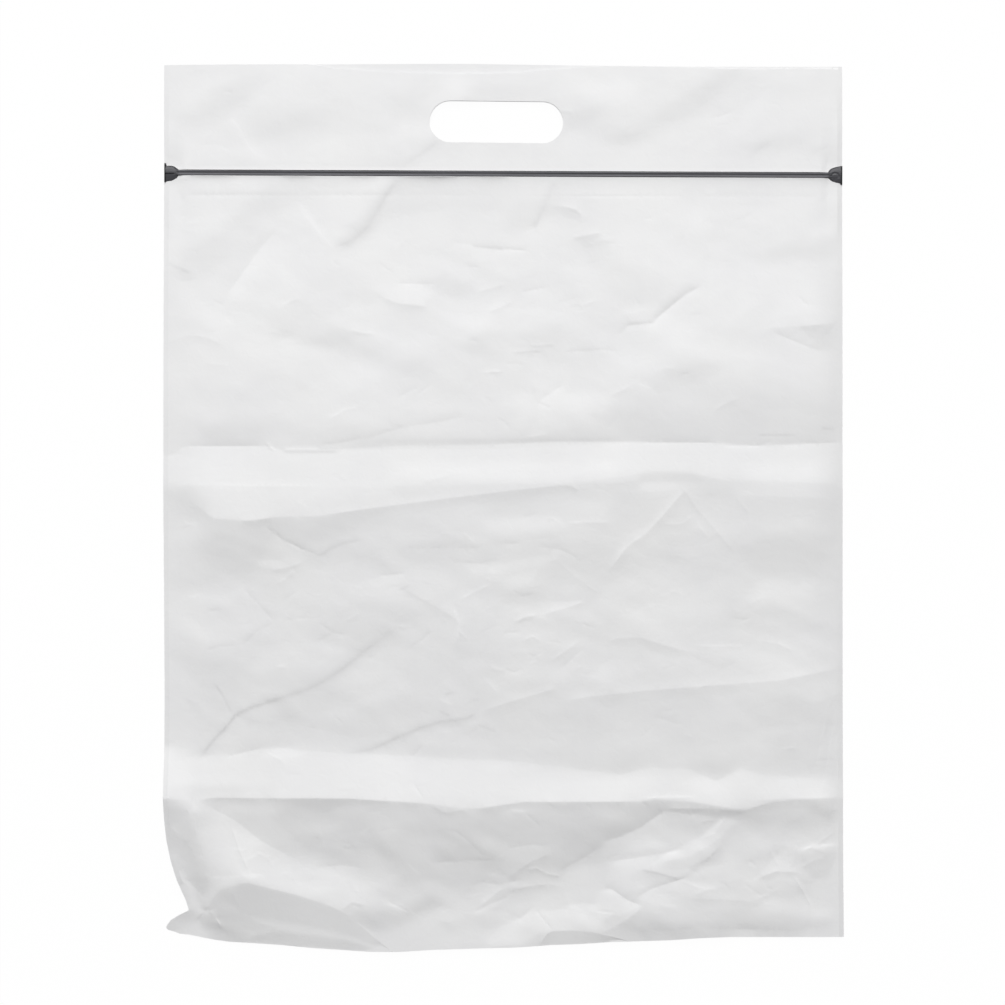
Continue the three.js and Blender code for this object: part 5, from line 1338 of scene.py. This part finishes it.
def blown_film():
    """Blown low density polyethylene, filled white: satin, with faint bands of thickness drawn along the web
    and a fine orange skin."""
    material, tree = new_material("blown white LDPE film")
    place = add(tree, "ShaderNodeTexCoord").outputs["Object"]

    # bands 7 mm apart and 120 mm long, among clouds of 60 mm: white that is nowhere quite even
    drawn = add(tree, "ShaderNodeMapping", {"Scale": (every(7), every(120), every(50))}, {"Vector": place})
    bands = add(tree, "ShaderNodeTexNoise", {"Scale": 1.0, "Detail": 2.0}, {"Vector": drawn.outputs[0]})
    clouds = add(tree, "ShaderNodeTexNoise", {"Scale": every(60), "Detail": 3.0}, {"Vector": place})
    both = add(tree, "ShaderNodeMix", {"data_type": "FLOAT", 0: 0.2}, {2: clouds.outputs[0], 3: bands.outputs[0]})
    tone = two_tones(tree, both.outputs[0], "#EDEDEE", "#F1F1F1")

    # orange skin of 1.6 mm over slow creep of 6 mm: highlights that are broken up, never sharp
    skin = add(tree, "ShaderNodeTexNoise", {"Scale": every(1.6), "Detail": 2.0}, {"Vector": place})
    creep = add(tree, "ShaderNodeTexNoise", {"Scale": every(6), "Detail": 2.0, "Distortion": 0.6}, {"Vector": place})
    fine = add(tree, "ShaderNodeBump", {"Strength": 0.12, "Distance": 0.1 / METRE}, {"Height": skin.outputs[0]})
    bump = add(tree, "ShaderNodeBump", {"Strength": 0.25, "Distance": 0.4 / METRE},
               {"Height": creep.outputs[0], "Normal": fine.outputs[0]})
    gloss = add(tree, "ShaderNodeMapRange", {"To Min": 0.52, "To Max": 0.62}, {"Value": clouds.outputs[0]})
    surface = add(tree, "ShaderNodeBsdfPrincipled", {"IOR": 1.51, "Specular IOR Level": 0.2},
                  {"Base Color": tone, "Roughness": gloss.outputs[0], "Normal": bump.outputs[0]})
    add(tree, "ShaderNodeOutputMaterial", {}, {"Surface": surface.outputs[0]})
    return material


# Where the zip darkens towards its ends, in from the cut edge: from and to, and the colour. The last, near black, is
# painted shade on the bead of melt along the cut.
ZIP_ENDS_AND_PAINTED_SHADE = [(9.2, 7.8, "#414145"), (1.2, 0.8, "#08080A")]


def extruded_zip():
    """Dark grey polyethylene drawn through a die: fine lines along the zip, satin. The crushed ends are
    darker, and the bead of melt along the cut is painted near black for the shade it lies in."""
    material, tree = new_material("extruded grey polyethylene zip")
    place = add(tree, "ShaderNodeTexCoord").outputs["Object"]

    # die lines half a millimetre apart and 50 mm long: a faint streak along the ridges
    drawn = add(tree, "ShaderNodeMapping", {"Scale": (every(50), every(0.5), every(0.5))}, {"Vector": place})
    lines = add(tree, "ShaderNodeTexNoise", {"Scale": 1.0, "Detail": 2.0}, {"Vector": drawn.outputs[0]})
    colour = two_tones(tree, lines.outputs[0], "#545458", "#646468")
    along = add(tree, "ShaderNodeSeparateXYZ", {}, {"Vector": place})
    from_middle = add(tree, "ShaderNodeMath", {"operation": "ABSOLUTE"}, {0: along.outputs["X"]})
    # darker over the crushed ends, then near black over the bead: painted shade
    for first, last, code in ZIP_ENDS_AND_PAINTED_SHADE:
        limits = {"From Min": (BAG_WIDTH / 2 - first) / METRE, "From Max": (BAG_WIDTH / 2 - last) / METRE}
        share = add(tree, "ShaderNodeMapRange", limits, {"Value": from_middle.outputs[0]})
        darker = add(tree, "ShaderNodeMix", {"data_type": "RGBA", 7: linear(code)}, {0: share.outputs[0], 6: colour})
        colour = darker.outputs[2]
    bump = add(tree, "ShaderNodeBump", {"Strength": 0.3, "Distance": 0.1 / METRE}, {"Height": lines.outputs[0]})
    surface = add(tree, "ShaderNodeBsdfPrincipled", {"IOR": 1.51, "Specular IOR Level": 0.25, "Roughness": 0.42},
                  {"Base Color": colour, "Normal": bump.outputs[0]})
    add(tree, "ShaderNodeOutputMaterial", {}, {"Surface": surface.outputs[0]})
    return material


def seen_directly(tree):
    """1 for what the eye sees itself, in a reflection or through something, 0 for light on its way to a surface."""
    ray = add(tree, "ShaderNodeLightPath").outputs
    near = add(tree, "ShaderNodeMath", {"operation": "MAXIMUM"}, {0: ray["Is Camera Ray"], 1: ray["Is Glossy Ray"]})
    either = add(tree, "ShaderNodeMath", {"operation": "MAXIMUM"},
                 {0: near.outputs[0], 1: ray["Is Transmission Ray"]})
    return either.outputs[0]


def white_ground():
    """White paper: seen as white, with a trace of the bag's shadow."""
    material, tree = new_material("white paper ground")
    share = add(tree, "ShaderNodeMath", {"operation": "MULTIPLY", 1: 0.98}, {0: seen_directly(tree)})
    paper = add(tree, "ShaderNodeBsdfDiffuse", {"Color": WHITE})
    glow = add(tree, "ShaderNodeEmission", {"Color": WHITE, "Strength": 1.0})
    mix = add(tree, "ShaderNodeMixShader", {}, {0: share.outputs[0], 1: paper.outputs[0], 2: glow.outputs[0]})
    add(tree, "ShaderNodeOutputMaterial", {}, {"Surface": mix.outputs[0]})
    return material


# ---------------------------------------------------------------- camera, ground and light

# Camera: lens and square sensor, how far it sees in metres, and the height on the bag where a pixel is 0.6 mm
LENS, SENSOR = 120, 36
CAMERA_END = 20
SCALE_HEIGHT = 1.5
# Ground: just below the bag, and far wider than the picture
GROUND, GROUND_HALF = -0.4, 4000
# Light, in metres and watts: one broad lamp from the mouth's side, and an even white room
LAMP_PLACE, LAMP_SIZE, LAMP_POWER = (-0.3, 4.2, 3.56), 4.4, 329
ROOM_LIGHT = 0.272
# Edges sharper than this many degrees stay sharp
FILM_SHARP, ZIP_SHARP = 11, 35


def camera_straight_down():
    """Camera over the middle of the picture."""
    data = bpy.data.cameras.new("camera")
    data.lens, data.sensor_width, data.sensor_height = LENS, SENSOR, SENSOR
    data.clip_end = CAMERA_END
    camera = bpy.data.objects.new("camera", data)
    x, y = on_bag(IMAGE / 2, IMAGE / 2)
    reach = IMAGE * PIXEL / METRE * data.lens / data.sensor_width
    camera.location = (x / METRE, y / METRE, reach + SCALE_HEIGHT / METRE)
    bpy.context.scene.collection.objects.link(camera)
    bpy.context.scene.camera = camera


def lamp(name, place, aim, size, power):
    """Round lamp that faces its aim."""
    data = bpy.data.lights.new(name, "AREA")
    data.shape, data.size, data.energy = "DISK", size, power
    light = bpy.data.objects.new(name, data)
    light.location = place
    light.rotation_euler = (Vector(aim) - Vector(place)).to_track_quat("-Z", "Y").to_euler()
    bpy.context.scene.collection.objects.link(light)


def world_light(level):
    """Even white room that lights at a level and is seen as plain white."""
    world = bpy.data.worlds.new("studio")
    bpy.context.scene.world = world
    world.use_nodes = True
    tree = world.node_tree
    tree.nodes.clear()
    soft = add(tree, "ShaderNodeBackground", {"Color": WHITE, "Strength": level})
    white = add(tree, "ShaderNodeBackground", {"Color": WHITE, "Strength": 1.0})
    mix = add(tree, "ShaderNodeMixShader", {}, {0: seen_directly(tree), 1: soft.outputs[0], 2: white.outputs[0]})
    add(tree, "ShaderNodeOutputWorld", {}, {"Surface": mix.outputs[0]})


def dress(piece, material, sharp):
    """Puts a piece in its material, smooth except along edges sharper than an angle."""
    piece.data.materials.clear()
    piece.data.materials.append(material)
    piece.data.shade_smooth()
    piece.data.set_sharp_from_angle(angle=math.radians(sharp))


# ---------------------------------------------------------------- the scene

camera_straight_down()
bpy.context.scene.view_settings.view_transform = "Standard"

corners = [(-1, -1), (1, -1), (1, 1), (-1, 1)]
ground = mesh_piece("ground", [(GROUND_HALF * x, GROUND_HALF * y, GROUND) for x, y in corners], [(0, 1, 2, 3)])
ground.data.materials.append(white_ground())

lamp("key", LAMP_PLACE, (0, 0, 0), LAMP_SIZE, LAMP_POWER)
world_light(ROOM_LIGHT)

film = bag_film()
dress(film, blown_film(), FILM_SHARP)
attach(film, "root")
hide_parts("bag_film")

zip_material = extruded_zip()
track = zip_track()
dress(track, zip_material, ZIP_SHARP)
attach(track, "root")
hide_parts("zip_groove_track")
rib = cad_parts["zip_rib_track"]
rib.data.materials.clear()
rib.data.materials.append(zip_material)
